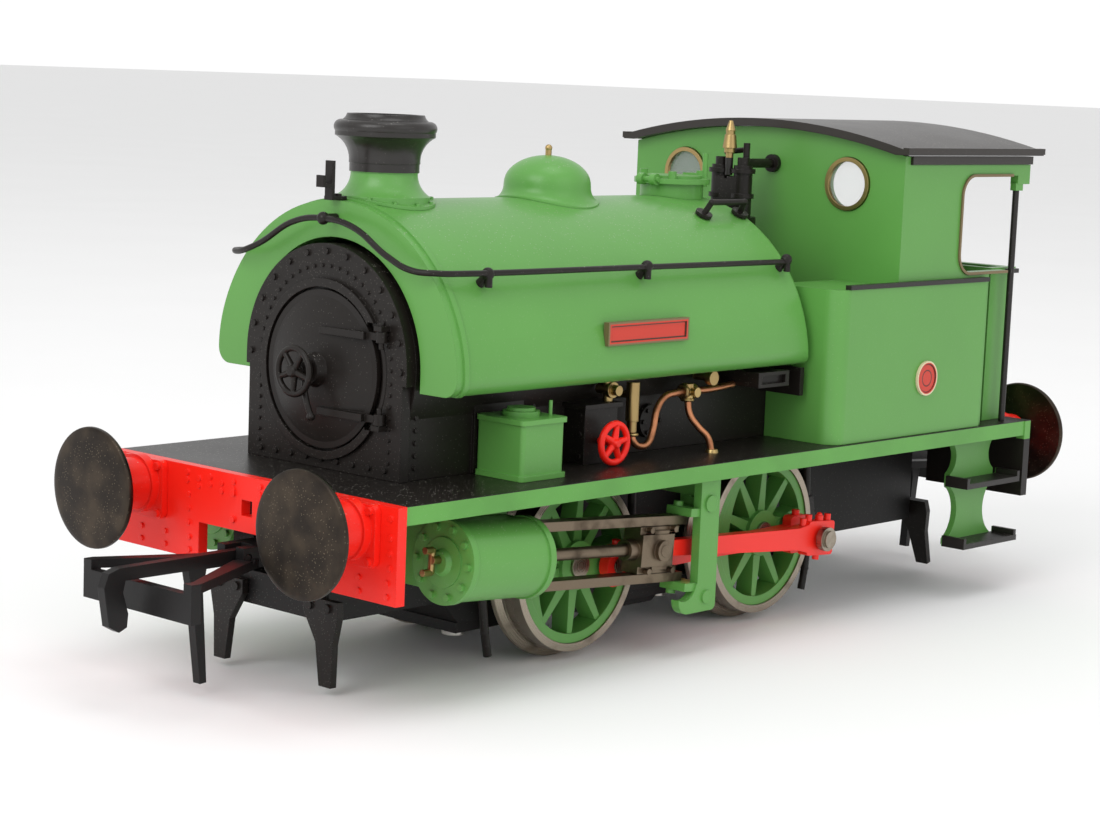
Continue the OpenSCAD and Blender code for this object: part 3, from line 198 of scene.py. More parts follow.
class Finish:
    """One procedural material, its shader and the patterns painted on it."""

    def __init__(self, name, **constants):
        self.material = bpy.data.materials.new(PREFIX + name)
        self.material.use_nodes = True
        self.tree = self.material.node_tree
        self.shader = self.tree.nodes["Principled BSDF"]
        for socket, value in constants.items():
            self.shader.inputs[self.label(socket)].default_value = value
        self.place = self.node("ShaderNodeTexCoord", out="Object")
        self.along, self.across, self.up = (
            self.node("ShaderNodeSeparateXYZ", [self.place], out=axis) * (1 / MM) for axis in range(3)
        )

    @staticmethod
    def label(name):
        """The shader's own name for a socket written in lower case."""
        return name.replace("_", " ").title().replace("Ior", "IOR")

    def node(self, kind, values=(), out=0, **settings):
        """Adds a node with its settings, fills its sockets in order or by name, and gives one output."""
        node = self.tree.nodes.new(kind)
        for name, setting in settings.items():
            setattr(node, name, setting)
        for key, value in values.items() if isinstance(values, dict) else enumerate(values):
            self.feed(node.inputs[key], value)
        return Value(self, node.outputs[out])

    def feed(self, socket, value):
        """Links a value to a socket, or sets it there when it is a plain number or colour."""
        if isinstance(value, Value):
            self.tree.links.new(value.socket, socket)
        elif socket.type == "RGBA":
            socket.default_value = (*value, 1)
        else:
            socket.default_value = value

    def paint(self, **sockets):
        """Feeds the shader, with the socket names in lower case."""
        for name, value in sockets.items():
            self.feed(self.shader.inputs[self.label(name)], value)

    def noise(self, size, detail=2.0):
        """Cloudy pattern from 0 to 1 with features of about the given size in millimetres."""
        values = {"Vector": self.place, "Scale": 1 / (size * MM), "Detail": detail}
        return self.node("ShaderNodeTexNoise", values, noise_dimensions="3D")

    def specks(self, size, share):
        """Scattered round specks of a size in millimetres, thinned out to a share of the cells."""
        cell = {"Vector": self.place, "Scale": 1 / (size * 4 * MM)}
        near = self.node("ShaderNodeTexVoronoi", cell, out="Distance")
        pick = self.node("ShaderNodeSeparateColor", [self.node("ShaderNodeTexVoronoi", cell, out="Color")])
        return (near < 0.22) * (pick < share)

    def turned(self, centre, size):
        """Fine rings about an axle along Y, for turned metal."""
        radius = ((self.along - centre.x / MM) ** 2 + (self.up - centre.z / MM) ** 2) ** 0.5
        values = {"W": radius, "Scale": 1 / size, "Detail": 3}
        return self.node("ShaderNodeTexNoise", values, noise_dimensions="1D")

    def blend(self, amount, first, second):
        """Mixes two colours."""
        return self.node("ShaderNodeMix", {0: amount, 6: first, 7: second}, out=2, data_type="RGBA")

    def shades(self, amount, colour, spread):
        """A colour that runs from a darker to a lighter shade of itself."""
        dark = [part * (1 - spread) for part in colour]
        light = [min(part * (1 + spread), 1) for part in colour]
        return self.blend(amount, dark, light)

    def upward(self):
        """1 on faces that look up, 0 on walls."""
        normal = self.node("ShaderNodeNewGeometry", out="Normal")
        return self.node("ShaderNodeSeparateXYZ", [normal], out=2).step(0.6, 0.95)

    def relief(self, height, depth, edge):
        """Normal from a height pattern of a depth in metres, over edges rounded by the shader."""
        rounded = self.node("ShaderNodeBevel", [edge], samples=4)
        return self.node("ShaderNodeBump", {"Height": height, "Distance": depth, "Normal": rounded})


def sprayed(
    name, paint, colour, rough, areas=(), dusty=True, metallic=0.0, spread=0.06, coat=0.0, gloss=0.5
):
    """Sprayed model paint: faint clouding, orange peel, dust on top and softened edges.

    areas holds functions that give a mask, with the colour, roughness and metalness painted there."""
    finish = Finish(name, coat_weight=coat, coat_roughness=0.12, specular_ior_level=gloss)
    cloud = finish.noise(7, 3)
    peel = finish.noise(0.3, 2)
    tint = finish.shades(cloud, colour, spread)
    sheen = rough + 0.10 * (cloud - 0.5) + 0.06 * (peel - 0.5)
    metalness = metallic
    for where, other, other_rough, other_metallic in areas:
        mask = where(finish)
        tint = finish.blend(mask, tint, finish.shades(cloud, other, spread))
        sheen = sheen + mask * (other_rough - rough)
        metalness = metalness + mask * (other_metallic - metallic)
    if dusty:
        film = finish.noise(1.3, 4).step(0.55, 0.8) * 0.06 * paint.dust
        dust = finish.specks(0.045, paint.dust * 0.5) * 0.8 + film
        dust = dust * (0.12 + 0.88 * finish.upward())
        tint = finish.blend(dust, tint, (0.55, 0.52, 0.47))
        sheen = sheen + dust * 0.3
    finish.paint(
        base_color=tint, roughness=sheen, metallic=metalness,
        normal=finish.relief(peel, paint.peel, paint.edge),
    )
    return finish


def metal(name, paint, colour, rough, tarnish, share, centre=None):
    """Bare or chemically darkened metal with a patchy tarnish and fine working marks."""
    finish = Finish(name, metallic=1.0)
    patches = finish.noise(2.2, 5).step(0.7 - 0.5 * share, 1.0 - 0.5 * share)
    marks = finish.turned(centre, 0.09) if centre else finish.noise(0.12, 3)
    tint = finish.blend(patches, finish.shades(marks, colour, 0.12), tarnish)
    sheen = rough + 0.18 * patches + 0.1 * (marks - 0.5)
    finish.paint(base_color=tint, roughness=sheen, normal=finish.relief(marks, 0.004 * MM, paint.edge))
    return finish


def outside(finish, across):
    """1 beyond a distance in millimetres from the engine's centreline."""
    return abs(finish.across) > across


class SHUNTER_OT_finishes(bpy.types.Operator):
    """Mix every paint and metal finish"""

    bl_idname = "shunter.finishes"
    bl_label = "Mix finishes"

    def execute(self, context):
        paint = context.scene.shunter_paint
        green, red, black = (tuple(colour) for colour in (paint.green, paint.red, paint.black))
        steel, bronze, cream = (0.20, 0.155, 0.11), (0.22, 0.16, 0.08), (0.72, 0.62, 0.40)
        foot_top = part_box("footplate")[1].z / MM
        foot_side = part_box("footplate")[1].y / MM

        def valance(f):
            """The green edge under the running board."""
            return outside(f, foot_side - 0.85) * (f.up < foot_top - 0.05) * (f.up > foot_top - 1.75)

        sprayed("green_paint", paint, green, 0.36, coat=0.1, gloss=0.4)
        sprayed("wheel_green", paint, green, 0.42, dusty=False)
        sprayed("red_paint", paint, red, 0.34, coat=0.06, gloss=0.3)
        sprayed("black_paint", paint, black, 0.36, spread=0.25, gloss=0.26)
        sprayed("roof_black", paint, (0.020, 0.015, 0.012), 0.34, spread=0.2)
        sprayed("smokebox_black", paint, black, 0.38, spread=0.3, gloss=0.26)
        sprayed("rod_red", paint, red, 0.36, dusty=False, spread=0.12)
        sprayed("black_plastic", paint, (0.010, 0.009, 0.009), 0.42, dusty=False, spread=0.2, gloss=0.26)
        sprayed("cast_block", paint, (0.010, 0.009, 0.009), 0.48, spread=0.3, gloss=0.26)
        cap_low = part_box("chimney")[1].z / MM - 4.4
        sprayed(
            "chimney_paint", paint, green, 0.36, coat=0.1,
            areas=[(lambda f: f.up > cap_low, black, 0.34, 0.0)],
        )
        sprayed(
            "footplate_paint", paint, black, 0.36, spread=0.3, gloss=0.3,
            areas=[(valance, green, 0.36, 0.0)],
        )
        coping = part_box("side_bunkers")[1].z / MM - 0.395
        sprayed(
            "bunker_paint", paint, green, 0.36, coat=0.1, gloss=0.4,
            areas=[(lambda f: f.up > coping, black, 0.4, 0.0)],
        )
        sprayed(
            "step_paint", paint, green, 0.38,
            areas=[(lambda f: outside(f, 14.21), black, 0.42, 0.0)],
        )
        cab_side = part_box("cab_body")[1].y / MM - 0.18
        sprayed(
            "cab_paint", paint, green, 0.36, coat=0.1, gloss=0.4,
            areas=[
                (lambda f: outside(f, 14.5) * (f.along < -37.9) * (f.up < 37.6), black, 0.4, 0.0),
                (lambda f: outside(f, cab_side + 0.02), bronze, 0.4, 0.5),
            ],
        )
        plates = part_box("nameplates")
        plate_end, plate_top = plates[1].x / MM, plates[1].z / MM
        disc_x, disc_z = plates[0].x / MM + 1.55, plates[0].z / MM + 1.55

        plate_middle = plate_top - 0.925
        half_long, half_tall = 4.9, 0.93

        def within(f, border):
            """1 on a tank plate, inside a border of a width in millimetres."""
            long = abs(f.along - (plate_end - half_long)) < half_long - border
            return long * (abs(f.up - plate_middle) < half_tall - border)

        def plate_rim(f):
            """The raised border of the tank plates."""
            return (1 - within(f, 0.16)) * (f.along > 0)

        def plate_line(f):
            """The dark line inside the border."""
            return (within(f, 0.3) - within(f, 0.4)) * (f.along > 0)

        def from_centre(f):
            """Distance in millimetres from the middle of a round plate."""
            return ((f.along - disc_x) ** 2 + (f.up - disc_z) ** 2) ** 0.5

        def disc_rim(f):
            """The rim of the round plates."""
            return (from_centre(f) > 1.4) * (f.along < 0)

        def disc_rings(f):
            """Dark rings inside the round plates."""
            radius = from_centre(f)
            return ((abs(radius - 1.25) < 0.05) + (abs(radius - 0.7) < 0.06)) * (f.along < 0)

        sprayed(
            "plate_paint", paint, (0.60, 0.032, 0.012), 0.3, dusty=False,
            areas=[(plate_rim, bronze, 0.35, 0.5), (plate_line, (0.08, 0.03, 0.015), 0.4, 0.0),
                   (disc_rim, cream, 0.4, 0.0), (disc_rings, (0.10, 0.015, 0.008), 0.4, 0.0)],
        )
        metal("blackened_steel", paint, steel, 0.36, (0.07, 0.05, 0.035), share=0.45)
        metal("brass", paint, (0.50, 0.36, 0.15), 0.30, (0.20, 0.13, 0.06), share=0.5)
        metal("copper", paint, (0.56, 0.24, 0.12), 0.34, (0.28, 0.12, 0.06), share=0.5)
        metal("bright_steel", paint, (0.55, 0.53, 0.50), 0.3, (0.35, 0.32, 0.28), share=0.3)
        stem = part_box("brass_fittings")[1].z / MM - 3.3
        sprayed(
            "valve_metal", paint, (0.42, 0.30, 0.13), 0.34, dusty=False, metallic=1.0, spread=0.35,
            areas=[(lambda f: (f.along < -12) * (f.up < stem) * (abs(f.across) < 3), black, 0.4, 0.0)],
        )
        rear = sum(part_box("rear_wheels"), Vector()) / 2
        front = sum(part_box("front_wheels"), Vector()) / 2
        tyre, worn = (0.36, 0.31, 0.25), (0.17, 0.13, 0.10)
        metal("rear_tyre_steel", paint, tyre, 0.28, worn, share=0.35, centre=rear)
        metal("front_tyre_steel", paint, tyre, 0.28, worn, share=0.35, centre=front)
        self.buffer_finish(paint)
        self.board_finish(paint)
        self.glass_finish()
        return {"FINISHED"}

    def buffer_finish(self, paint):
        """Chemically blackened steel with brown bloom and fine pits."""
        finish = Finish("buffer_steel", metallic=1.0)
        bloom = finish.noise(2.6, 5)
        pits = finish.specks(0.05, 0.35)
        tint = finish.blend(bloom.step(0.35, 0.75), (0.034, 0.028, 0.024), (0.075, 0.058, 0.043))
        tint = finish.blend(pits * 0.6, tint, (0.22, 0.18, 0.13))
        finish.paint(
            base_color=tint, roughness=0.3 + 0.16 * bloom + 0.15 * pits,
            normal=finish.relief(finish.noise(0.2, 3), 0.006 * MM, paint.edge),
        )

    def board_finish(self, paint):
        """Green circuit board with copper tracks and dark parts on top."""
        finish = Finish("board", roughness=0.35)
        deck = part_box("circuit_board")[0].z / MM + 3.8
        tracks = abs(finish.noise(1.4, 1) - 0.5) < 0.03
        tint = finish.blend(tracks, (0.012, 0.11, 0.05), (0.30, 0.22, 0.10))
        tint = finish.blend(finish.up > deck, tint, (0.015, 0.015, 0.017))
        finish.paint(base_color=tint, normal=finish.relief(finish.noise(0.3), 0.01 * MM, paint.edge))

    def glass_finish(self):
        """Clear moulded glazing with faint smears."""
        finish = Finish("glass", alpha=0.16)
        smears = finish.noise(1.2, 4).step(0.4, 0.8)
        tint = finish.blend(smears, (0.85, 0.9, 0.9), (0.95, 0.96, 0.96))
        finish.paint(base_color=tint, roughness=0.04 + 0.12 * smears)


COATS = {
    "green_paint": ["saddle_tank", "dome", "tank_filler", "sandboxes", "cylinders", "motion_brackets"],
    "cab_paint": ["cab_body"],
    "bunker_paint": ["side_bunkers"],
    "chimney_paint": ["chimney"],
    "footplate_paint": ["footplate"],
    "step_paint": ["cab_steps"],
    "roof_black": ["cab_roof"],
    "smokebox_black": ["smokebox_front", "smokebox_door", "boiler_firebox", "door_handwheel", "backhead"],
    "black_paint": ["steam_fitting", "handrails", "lamp_irons", "guard_irons", "brake_gear"],
    "red_paint": ["front_beam", "buffer_housings", "handwheels"],
    "plate_paint": ["nameplates"],
    "rod_red": ["coupling_rod_left", "coupling_rod_right", "connecting_rod_left", "connecting_rod_right"],
    "wheel_green": ["rear_wheels", "front_wheels"],
    "rear_tyre_steel": ["rear_tyres"],
    "front_tyre_steel": ["front_tyres"],
    "blackened_steel": [
        "slide_bars", "crosshead_left", "crosshead_right", "crosshead_bolt_left", "crosshead_bolt_right",
        "rod_bolt_left", "rod_bolt_right", "piston_left", "piston_right",
    ],
    "valve_metal": ["brass_fittings"],
    "brass": ["armature"],
    "copper": ["copper_pipes"],
    "bright_steel": ["body_screws", "motor_can"],
    "cast_block": ["chassis_block", "keeper_plate"],
    "black_plastic": ["coupling_bar_front", "coupling_bar_rear", "coupling_hook_front", "coupling_hook_rear"],
    "buffer_steel": ["buffer_front_left", "buffer_front_right", "buffer_rear_left", "buffer_rear_right"],
    "board": ["circuit_board"],
    "glass": ["window_glazing"],
}


class SHUNTER_OT_coats(bpy.types.Operator):
    """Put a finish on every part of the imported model"""

    bl_idname = "shunter.coats"
    bl_label = "Paint the parts"

    def execute(self, context):
        for finish, nodes in COATS.items():
            for node in nodes:
                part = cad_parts[node]
                part.data.materials.clear()
                part.data.materials.append(bpy.data.materials[PREFIX + finish])
        return {"FINISHED"}


# New pieces.


class Piece:
    """One new piece: shapes are added to a bmesh, which ends as an object on a body."""

    def __init__(self, name):
        self.name = name
        self.bm = bmesh.new()

    def lathe(self, profile, centre, axis, steps=72):
        """Turns a profile of radius and height pairs about an axis."""
        side = axis.orthogonal().normalized()
        verts = [self.bm.verts.new(centre + side * radius + axis * height) for radius, height in profile]
        edges = [self.bm.edges.new(pair) for pair in zip(verts, verts[1:])]
        bmesh.ops.spin(
            self.bm, geom=verts + edges, cent=centre, axis=axis, dvec=(0, 0, 0), angle=math.tau, steps=steps,
            use_merge=True, use_duplicate=False,
        )

    def ring(self, centre, axis, radius, thick, steps=56, sides=12):
        """A round wire hoop."""
        side = axis.orthogonal().normalized()
        turn = Matrix((side, axis, side.cross(axis))).transposed().to_4x4()
        place = Matrix.Translation(centre + side * radius) @ turn
        made = bmesh.ops.create_circle(self.bm, segments=sides, radius=thick, matrix=place)["verts"]
        edges = list({edge for vert in made for edge in vert.link_edges})
        bmesh.ops.spin(
            self.bm, geom=made + edges, cent=centre, axis=axis, dvec=(0, 0, 0), angle=math.tau, steps=steps,
            use_merge=True, use_duplicate=False,
        )

    def ball(self, centre, radius):
        """A round knob."""
        bmesh.ops.create_uvsphere(
            self.bm, u_segments=24, v_segments=14, radius=radius, matrix=Matrix.Translation(centre)
        )

    def rod(self, start, end, radius, end_radius=None):
        """A straight round bar, which may taper."""
        along = end - start
        turn = along.to_track_quat("Z", "Y").to_matrix().to_4x4()
        bmesh.ops.create_cone(
            self.bm, cap_ends=True, segments=24, radius1=radius,
            radius2=radius if end_radius is None else end_radius, depth=along.length,
            matrix=Matrix.Translation((start + end) / 2) @ turn,
        )

    def wire(self, points, radius):
        """A smooth bent wire through some points."""
        curve = bpy.data.curves.new(self.name + "_path", "CURVE")
        curve.dimensions = "3D"
        curve.bevel_depth = radius
        curve.bevel_resolution = 5
        curve.resolution_u = 10
        curve.use_fill_caps = True
        path = curve.splines.new("BEZIER")
        path.bezier_points.add(len(points) - 1)
        for knot, point in zip(path.bezier_points, points):
            knot.co = point
            knot.handle_left_type = knot.handle_right_type = "AUTO"
        holder = bpy.data.objects.new(self.name + "_path", curve)
        bpy.context.scene.collection.objects.link(holder)
        mesh = holder.to_mesh()
        self.bm.from_mesh(mesh)
        holder.to_mesh_clear()
        bpy.data.objects.remove(holder)
        bpy.data.curves.remove(curve)

    def mirrored(self):
        """Adds a copy on the engine's other side."""
        geometry = self.bm.verts[:] + self.bm.edges[:] + self.bm.faces[:]
        copy = bmesh.ops.duplicate(self.bm, geom=geometry)["geom"]
        verts = [part for part in copy if isinstance(part, bmesh.types.BMVert)]
        bmesh.ops.scale(self.bm, vec=(1, -1, 1), verts=verts)

    def done(self, finish, body, stands_for=()):
        """Closes the mesh, gives it a finish and puts it on its body."""
        bmesh.ops.remove_doubles(self.bm, verts=self.bm.verts, dist=0.001 * MM)
        bmesh.ops.recalc_face_normals(self.bm, faces=self.bm.faces)
        for face in self.bm.faces:
            face.smooth = True
        for edge in self.bm.edges:
            edge.smooth = edge.calc_face_angle(0) < math.radians(38)
        mesh = bpy.data.meshes.new(self.name)
        self.bm.to_mesh(mesh)
        self.bm.free()
        mesh.materials.append(bpy.data.materials[PREFIX + finish])
        piece = bpy.data.objects.new(self.name, mesh)
        bpy.context.scene.collection.objects.link(piece)
        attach(piece, body)
        if stands_for:
            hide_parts(*stands_for)


class SHUNTER_OT_handrails(bpy.types.Operator):
    """Bend the handrail round the tank front and along both sides"""

    bl_idname = "shunter.handrails"
    bl_label = "Handrails"

    def execute(self, context):
        size = context.scene.shunter_wire
        low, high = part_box("handrails")
        front, top, side = high.x / MM - 0.25, high.z / MM - 0.5, 11.75
        half = [
            (front - 0.2, 3.3, top - 0.45), (front - 0.2, 7.2, top - 2.4), (front - 0.35, 9.6, top - 3.2),
            (front - 1.3, 11.3, top - 3.3), (front - 3.5, side, top - 3.35), (10.3, side, top - 3.5),
            (low.x / MM + 0.6, side, top - 3.62),
        ]
        left = [mm(*point) for point in half]
        right = [mm(x, -y, z) for x, y, z in reversed(half)]
        rail = Piece("handrail_wire")
        rail.wire([*right, mm(front - 0.2, 0, top), *left], size.rail)
        rail.done("black_paint", "engine", ["handrails"])
        knobs = Piece("handrail_knobs")
        for x in (28.6, 10.3, low.x / MM + 0.9):
            z = top - 3.45
            knobs.ball(mm(x, side, z), size.knob)
            knobs.rod(mm(x, side, z), mm(x, 10.86, z - 0.87), size.knob * 0.55, size.knob * 0.8)
            tail = mm(x, side + 0.15, z - 1.0)
            knobs.rod(mm(x, side + 0.1, z - 0.1), tail, size.knob * 0.5, size.knob * 0.6)
        knobs.mirrored()
        knobs.ball(mm(front - 0.2, 0, top), size.knob)
        knobs.rod(mm(33.25, 0, top), mm(front - 0.2, 0, top), size.knob * 0.7)
        knobs.done("black_paint", "engine")
        return {"FINISHED"}


class SHUNTER_OT_pipes(bpy.types.Operator):
    """Bend the copper pipes under the tank and add their unions"""

    bl_idname = "shunter.pipes"
    bl_label = "Copper pipes"

    def execute(self, context):
        radius = context.scene.shunter_wire.pipe
        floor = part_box("copper_pipes")[0].z / MM
        y = 10.35
        pipes = Piece("copper_pipe_runs")
        pipes.wire(
            [mm(9.5, y - 0.15, 18.25), mm(9.35, y, 17.4), mm(8.6, y + 0.1, 16.98), mm(7.7, y + 0.15, 17.2),
             mm(7.05, y + 0.1, 18.4), mm(6.6, y, 19.8), mm(5.7, y, 20.8), mm(4.4, y, 21.05), mm(2.7, y, 21.1),
             mm(0, y - 0.05, 21.05), mm(-3.35, y - 0.05, 21.3)],
            radius,
        )
        pipes.wire(
            [mm(2.7, y, 20.6), mm(2.6, y + 0.25, 19.2), mm(2.0, y + 0.8, 18.1), mm(1.4, y + 1.3, 17.3),
             mm(1.15, y + 1.6, floor)],
            radius,
        )
        pipes.mirrored()
        pipes.done("copper", "engine", ["copper_pipes"])
        unions = Piece("pipe_unions")
        unions.rod(mm(3.5, y, 21.1), mm(1.9, y, 21.07), 0.55 * MM)
        unions.rod(mm(2.7, y, 20.3), mm(2.7, y, 21.75), 0.5 * MM)
        unions.ring(mm(3.35, y, 21.1), X, 0.5 * MM, 0.16 * MM, 24, 8)
        unions.ring(mm(2.05, y, 21.08), X, 0.5 * MM, 0.16 * MM, 24, 8)
        unions.ring(mm(2.7, y, 20.4), Z, 0.45 * MM, 0.15 * MM, 24, 8)
        unions.rod(mm(2.7, y + 0.4, 21.1), mm(2.7, y + 1.1, 21.1), 0.3 * MM, 0.42 * MM)
        unions.rod(mm(1.15, y + 1.6, floor), mm(1.15, y + 1.6, floor + 0.35), 0.6 * MM, 0.5 * MM)
        unions.ring(mm(9.4, y - 0.1, 18.0), Z, 0.34 * MM, 0.16 * MM, 24, 8)
        unions.mirrored()
        unions.done("brass", "engine")
        return {"FINISHED"}


class SHUNTER_OT_dome(bpy.types.Operator):
    """Spin the dome and flare its skirt down to the curve of the tank"""

    bl_idname = "shunter.dome"
    bl_label = "Dome"

    def execute(self, context):
        low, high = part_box("dome")
        tank_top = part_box("saddle_tank")[1].z
        centre = Vector(((low.x + high.x) / 2, 0, tank_top))
        radius, crown, flare = 3.62 * MM, high.z - tank_top, 0.75 * MM
        arc = [math.radians(90 - 7.5 * step) for step in range(12)]
        round_top = [(radius * math.cos(a), 0.9 * MM + (crown - 0.9 * MM) * math.sin(a)) for a in arc]
        sweep = [math.radians(10 * step) for step in range(10)]
        skirt = [(radius + flare * (1 - math.cos(a)), 0.9 * MM - 0.93 * MM * math.sin(a)) for a in sweep]
        dome = Piece("dome_cover")
        dome.lathe([*round_top, *skirt, (radius + flare, -0.15 * MM)], centre, Z, 96)
        arch = 13.6 * MM
        for vert in dome.bm.verts:
            share = 1 - min(max((vert.co.z - tank_top) / (1.6 * MM), 0), 1)
            vert.co.z -= (arch - (arch ** 2 - vert.co.y ** 2) ** 0.5) * share
        dome.done("green_paint", "engine", ["dome"])
        return {"FINISHED"}


class SHUNTER_OT_buffers(bpy.types.Operator):
    """Turn the four buffer heads with their shanks"""

    bl_idname = "shunter.buffers"
    bl_label = "Buffers"

    def execute(self, context):
        for end in ("front", "rear"):
            for side in ("left", "right"):
                node = f"buffer_{end}_{side}"
                low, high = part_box(node)
                out = X if end == "front" else -X
                radius = (high.y - low.y) / 2
                face = (low + high) / 2
                face.x = (high if end == "front" else low).x
                back = -(high.x - low.x)
                edge = 0.12 * MM
                crown = [(radius * step / 12, -0.16 * MM * (step / 12) ** 2) for step in range(12)]
                profile = [
                    *crown, (radius - edge, -0.17 * MM),
                    (radius - 0.03 * MM, -0.22 * MM), (radius, -0.34 * MM),
                    (radius, -0.5 * MM), (radius - 0.05 * MM, -0.62 * MM), (radius - edge, -0.68 * MM),
                    (radius * 0.7, -0.72 * MM), (2.2 * MM, -0.86 * MM), (1.5 * MM, -1.06 * MM),
                    (1.3 * MM, -1.1 * MM), (1.3 * MM, back), (0, back),
                ]
                head = Piece(f"buffer_head_{end}_{side}")
                head.lathe(profile, face, out)
                head.done("buffer_steel", f"{end}_{side}_buffer", [node])
        return {"FINISHED"}


class SHUNTER_OT_handwheels(bpy.types.Operator):
    """Cast the red valve wheels and the smokebox door wheel"""

    bl_idname = "shunter.handwheels"
    bl_label = "Handwheels"

    def wheel(self, piece, centre, axis, radius, thick, spokes, start=0.0):
        """A rim, a hub and tapering spokes."""
        side = axis.orthogonal().normalized()
        piece.ring(centre, axis, radius, thick)
        for spoke in range(spokes):
            turn = Matrix.Rotation(start + math.tau * spoke / spokes, 3, axis)
            out = turn @ side * radius
            piece.rod(centre + out * 0.15, centre + out * 0.97, thick * 1.15, thick * 0.8)
        hub = radius * 0.26
        piece.lathe(
            [(0, thick * 1.9), (hub * 0.7, thick * 1.8), (hub, thick * 1.2),
             (hub, -thick * 1.4), (0, -thick * 1.4)],
            centre, axis, 32,
        )

    def execute(self, context):
        spokes = context.scene.shunter_wire.spokes
        low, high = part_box("handwheels")
        red = Piece("valve_handwheels")
        centre = Vector(((low.x + high.x) / 2, 12.2 * MM, (low.z + high.z) / 2))
        radius = (high.z - low.z) / 2 - 0.28 * MM
        self.wheel(red, centre, Y, radius, 0.28 * MM, spokes, 0.3)
        red.rod(centre - Y * 1.55 * MM, centre, 0.3 * MM)
        red.mirrored()
        red.done("red_paint", "engine", ["handwheels"])
        low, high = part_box("door_handwheel")
        rim = (high.y - low.y) / 2
        centre = Vector((high.x - 0.26 * MM, 0, high.z - rim))
        door = Piece("door_wheel")
        self.wheel(door, centre, X, rim - 0.26 * MM, 0.25 * MM, spokes, 0.2)
        door.rod(Vector((low.x, 0, centre.z)), centre, 0.34 * MM)
        shank = centre - X * 0.95 * MM
        door.rod(shank - X * 0.35 * MM, shank + X * 0.3 * MM, 0.75 * MM)
        swing = Matrix.Rotation(math.radians(20), 3, "X")
        tip = shank + swing @ mm(0.2, 0, -3.6)
        door.wire([shank + swing @ mm(0, 0, -0.4), shank + swing @ mm(0.3, 0, -2.0), tip], 0.24 * MM)
        door.ball(tip, 0.34 * MM)
        door.done("smokebox_black", "door_handwheel", ["door_handwheel"])
        return {"FINISHED"}


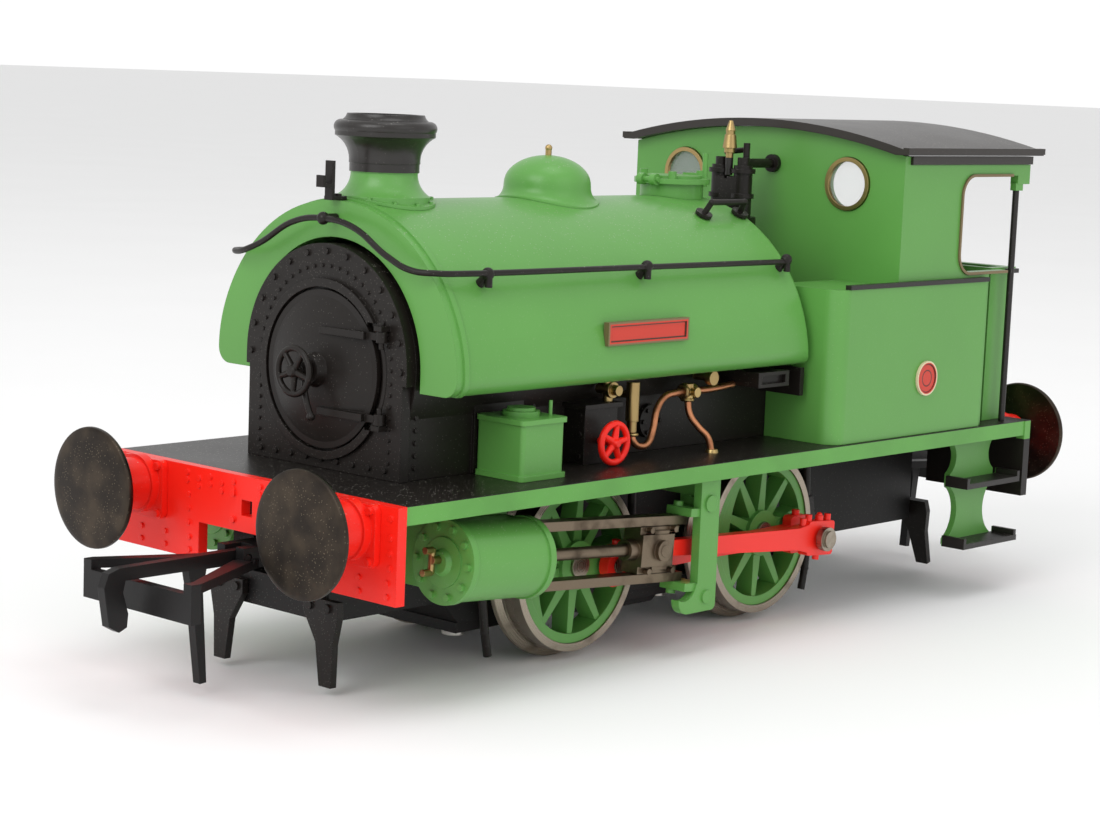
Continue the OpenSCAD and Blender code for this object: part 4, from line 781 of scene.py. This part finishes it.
class SHUNTER_OT_stage(bpy.types.Operator):
    """Set the floor, the lights and the camera"""

    bl_idname = "shunter.stage"
    bl_label = "Stage"

    def light(self, name, place, size, power, target):
        """A square softbox that faces a target."""
        lamp = bpy.data.lights.new(name, "AREA")
        lamp.size = size
        lamp.energy = power
        holder = bpy.data.objects.new(name, lamp)
        holder.location = place
        holder.rotation_euler = (target - place).to_track_quat("-Z", "Y").to_euler()
        bpy.context.scene.collection.objects.link(holder)

    def execute(self, context):
        stage = context.scene.shunter_stage
        scene = context.scene
        middle = (Vector(CAD_BOUNDS[0]) + Vector(CAD_BOUNDS[1])) / 2
        bm = bmesh.new()
        bmesh.ops.create_grid(bm, x_segments=4, y_segments=4, size=6)
        bmesh.ops.translate(bm, vec=(0, 0, CAD_BOUNDS[0][2]), verts=bm.verts)
        mesh = bpy.data.meshes.new("floor")
        bm.to_mesh(mesh)
        bm.free()
        paper = Finish("paper", roughness=0.9)
        paper.paint(base_color=paper.shades(paper.noise(40), tuple(stage.floor), 0.015))
        mesh.materials.append(paper.material)
        floor = bpy.data.objects.new("floor", mesh)
        scene.collection.objects.link(floor)
        world = bpy.data.worlds.new("studio")
        world.use_nodes = True
        tree = world.node_tree
        background = tree.nodes["Background"]
        background.inputs["Color"].default_value = (1, 1, 1, 1)
        seen = tree.nodes.new("ShaderNodeMapRange")
        seen.inputs["To Min"].default_value = stage.room
        seen.inputs["To Max"].default_value = SEEN_BACKGROUND
        tree.links.new(tree.nodes.new("ShaderNodeLightPath").outputs["Is Camera Ray"], seen.inputs["Value"])
        tree.links.new(seen.outputs["Result"], background.inputs["Strength"])
        scene.world = world
        scene.view_settings.view_transform = "Standard"
        self.light("key", Vector((0.42, 0.06, 0.30)), 0.3, stage.key, middle)
        self.light("side", Vector((0.02, 0.55, 0.30)), 0.4, stage.fill * 0.6, middle)
        self.light("top", Vector((0.0, 0.1, 0.60)), 0.3, stage.fill, middle)
        camera = bpy.data.cameras.new("camera")
        camera.sensor_width = 36
        camera.lens = stage.lens
        camera.shift_x, camera.shift_y = FRAME_SHIFT
        camera.clip_start = 0.01
        holder = bpy.data.objects.new("camera", camera)
        turns = ((AZIMUTH + 90, "Z"), (90 - ELEVATION, "X"), (ROLL, "Z"))
        holder.matrix_world = Matrix.Translation(mm(*EYE))
        for degrees, axis in turns:
            holder.matrix_world @= Matrix.Rotation(math.radians(degrees), 4, axis)
        scene.collection.objects.link(holder)
        scene.camera = holder
        return {"FINISHED"}


class SHUNTER_PT_panel(bpy.types.Panel):
    """Sidebar panel with the sizes, colours and every operator"""

    bl_idname = "SHUNTER_PT_panel"
    bl_label = "Saddle Tank Shunter"
    bl_space_type = "VIEW_3D"
    bl_region_type = "UI"
    bl_category = "Shunter"

    def draw(self, context):
        for group in (context.scene.shunter_paint, context.scene.shunter_wire, context.scene.shunter_stage):
            box = self.layout.box()
            for name in group.bl_rna.properties.keys():
                if name not in ("rna_type", "name"):
                    box.prop(group, name)
        for operator in OPERATORS:
            self.layout.operator(operator.bl_idname)


GROUPS = {"shunter_paint": ShunterPaint, "shunter_wire": ShunterWire, "shunter_stage": ShunterStage}
OPERATORS = [
    SHUNTER_OT_finishes,
    SHUNTER_OT_coats,
    SHUNTER_OT_handrails,
    SHUNTER_OT_pipes,
    SHUNTER_OT_dome,
    SHUNTER_OT_buffers,
    SHUNTER_OT_handwheels,
    SHUNTER_OT_stage,
]


def register():
    for cls in (*GROUPS.values(), *OPERATORS, SHUNTER_PT_panel):
        bpy.utils.register_class(cls)
    for name, group in GROUPS.items():
        setattr(bpy.types.Scene, name, bpy.props.PointerProperty(type=group))


def unregister():
    for name in GROUPS:
        delattr(bpy.types.Scene, name)
    for cls in reversed((*GROUPS.values(), *OPERATORS, SHUNTER_PT_panel)):
        bpy.utils.unregister_class(cls)


def main():
    register()
    for operator in OPERATORS:
        group, name = operator.bl_idname.split(".")
        getattr(getattr(bpy.ops, group), name)()


if __name__ == "__main__":
    main()
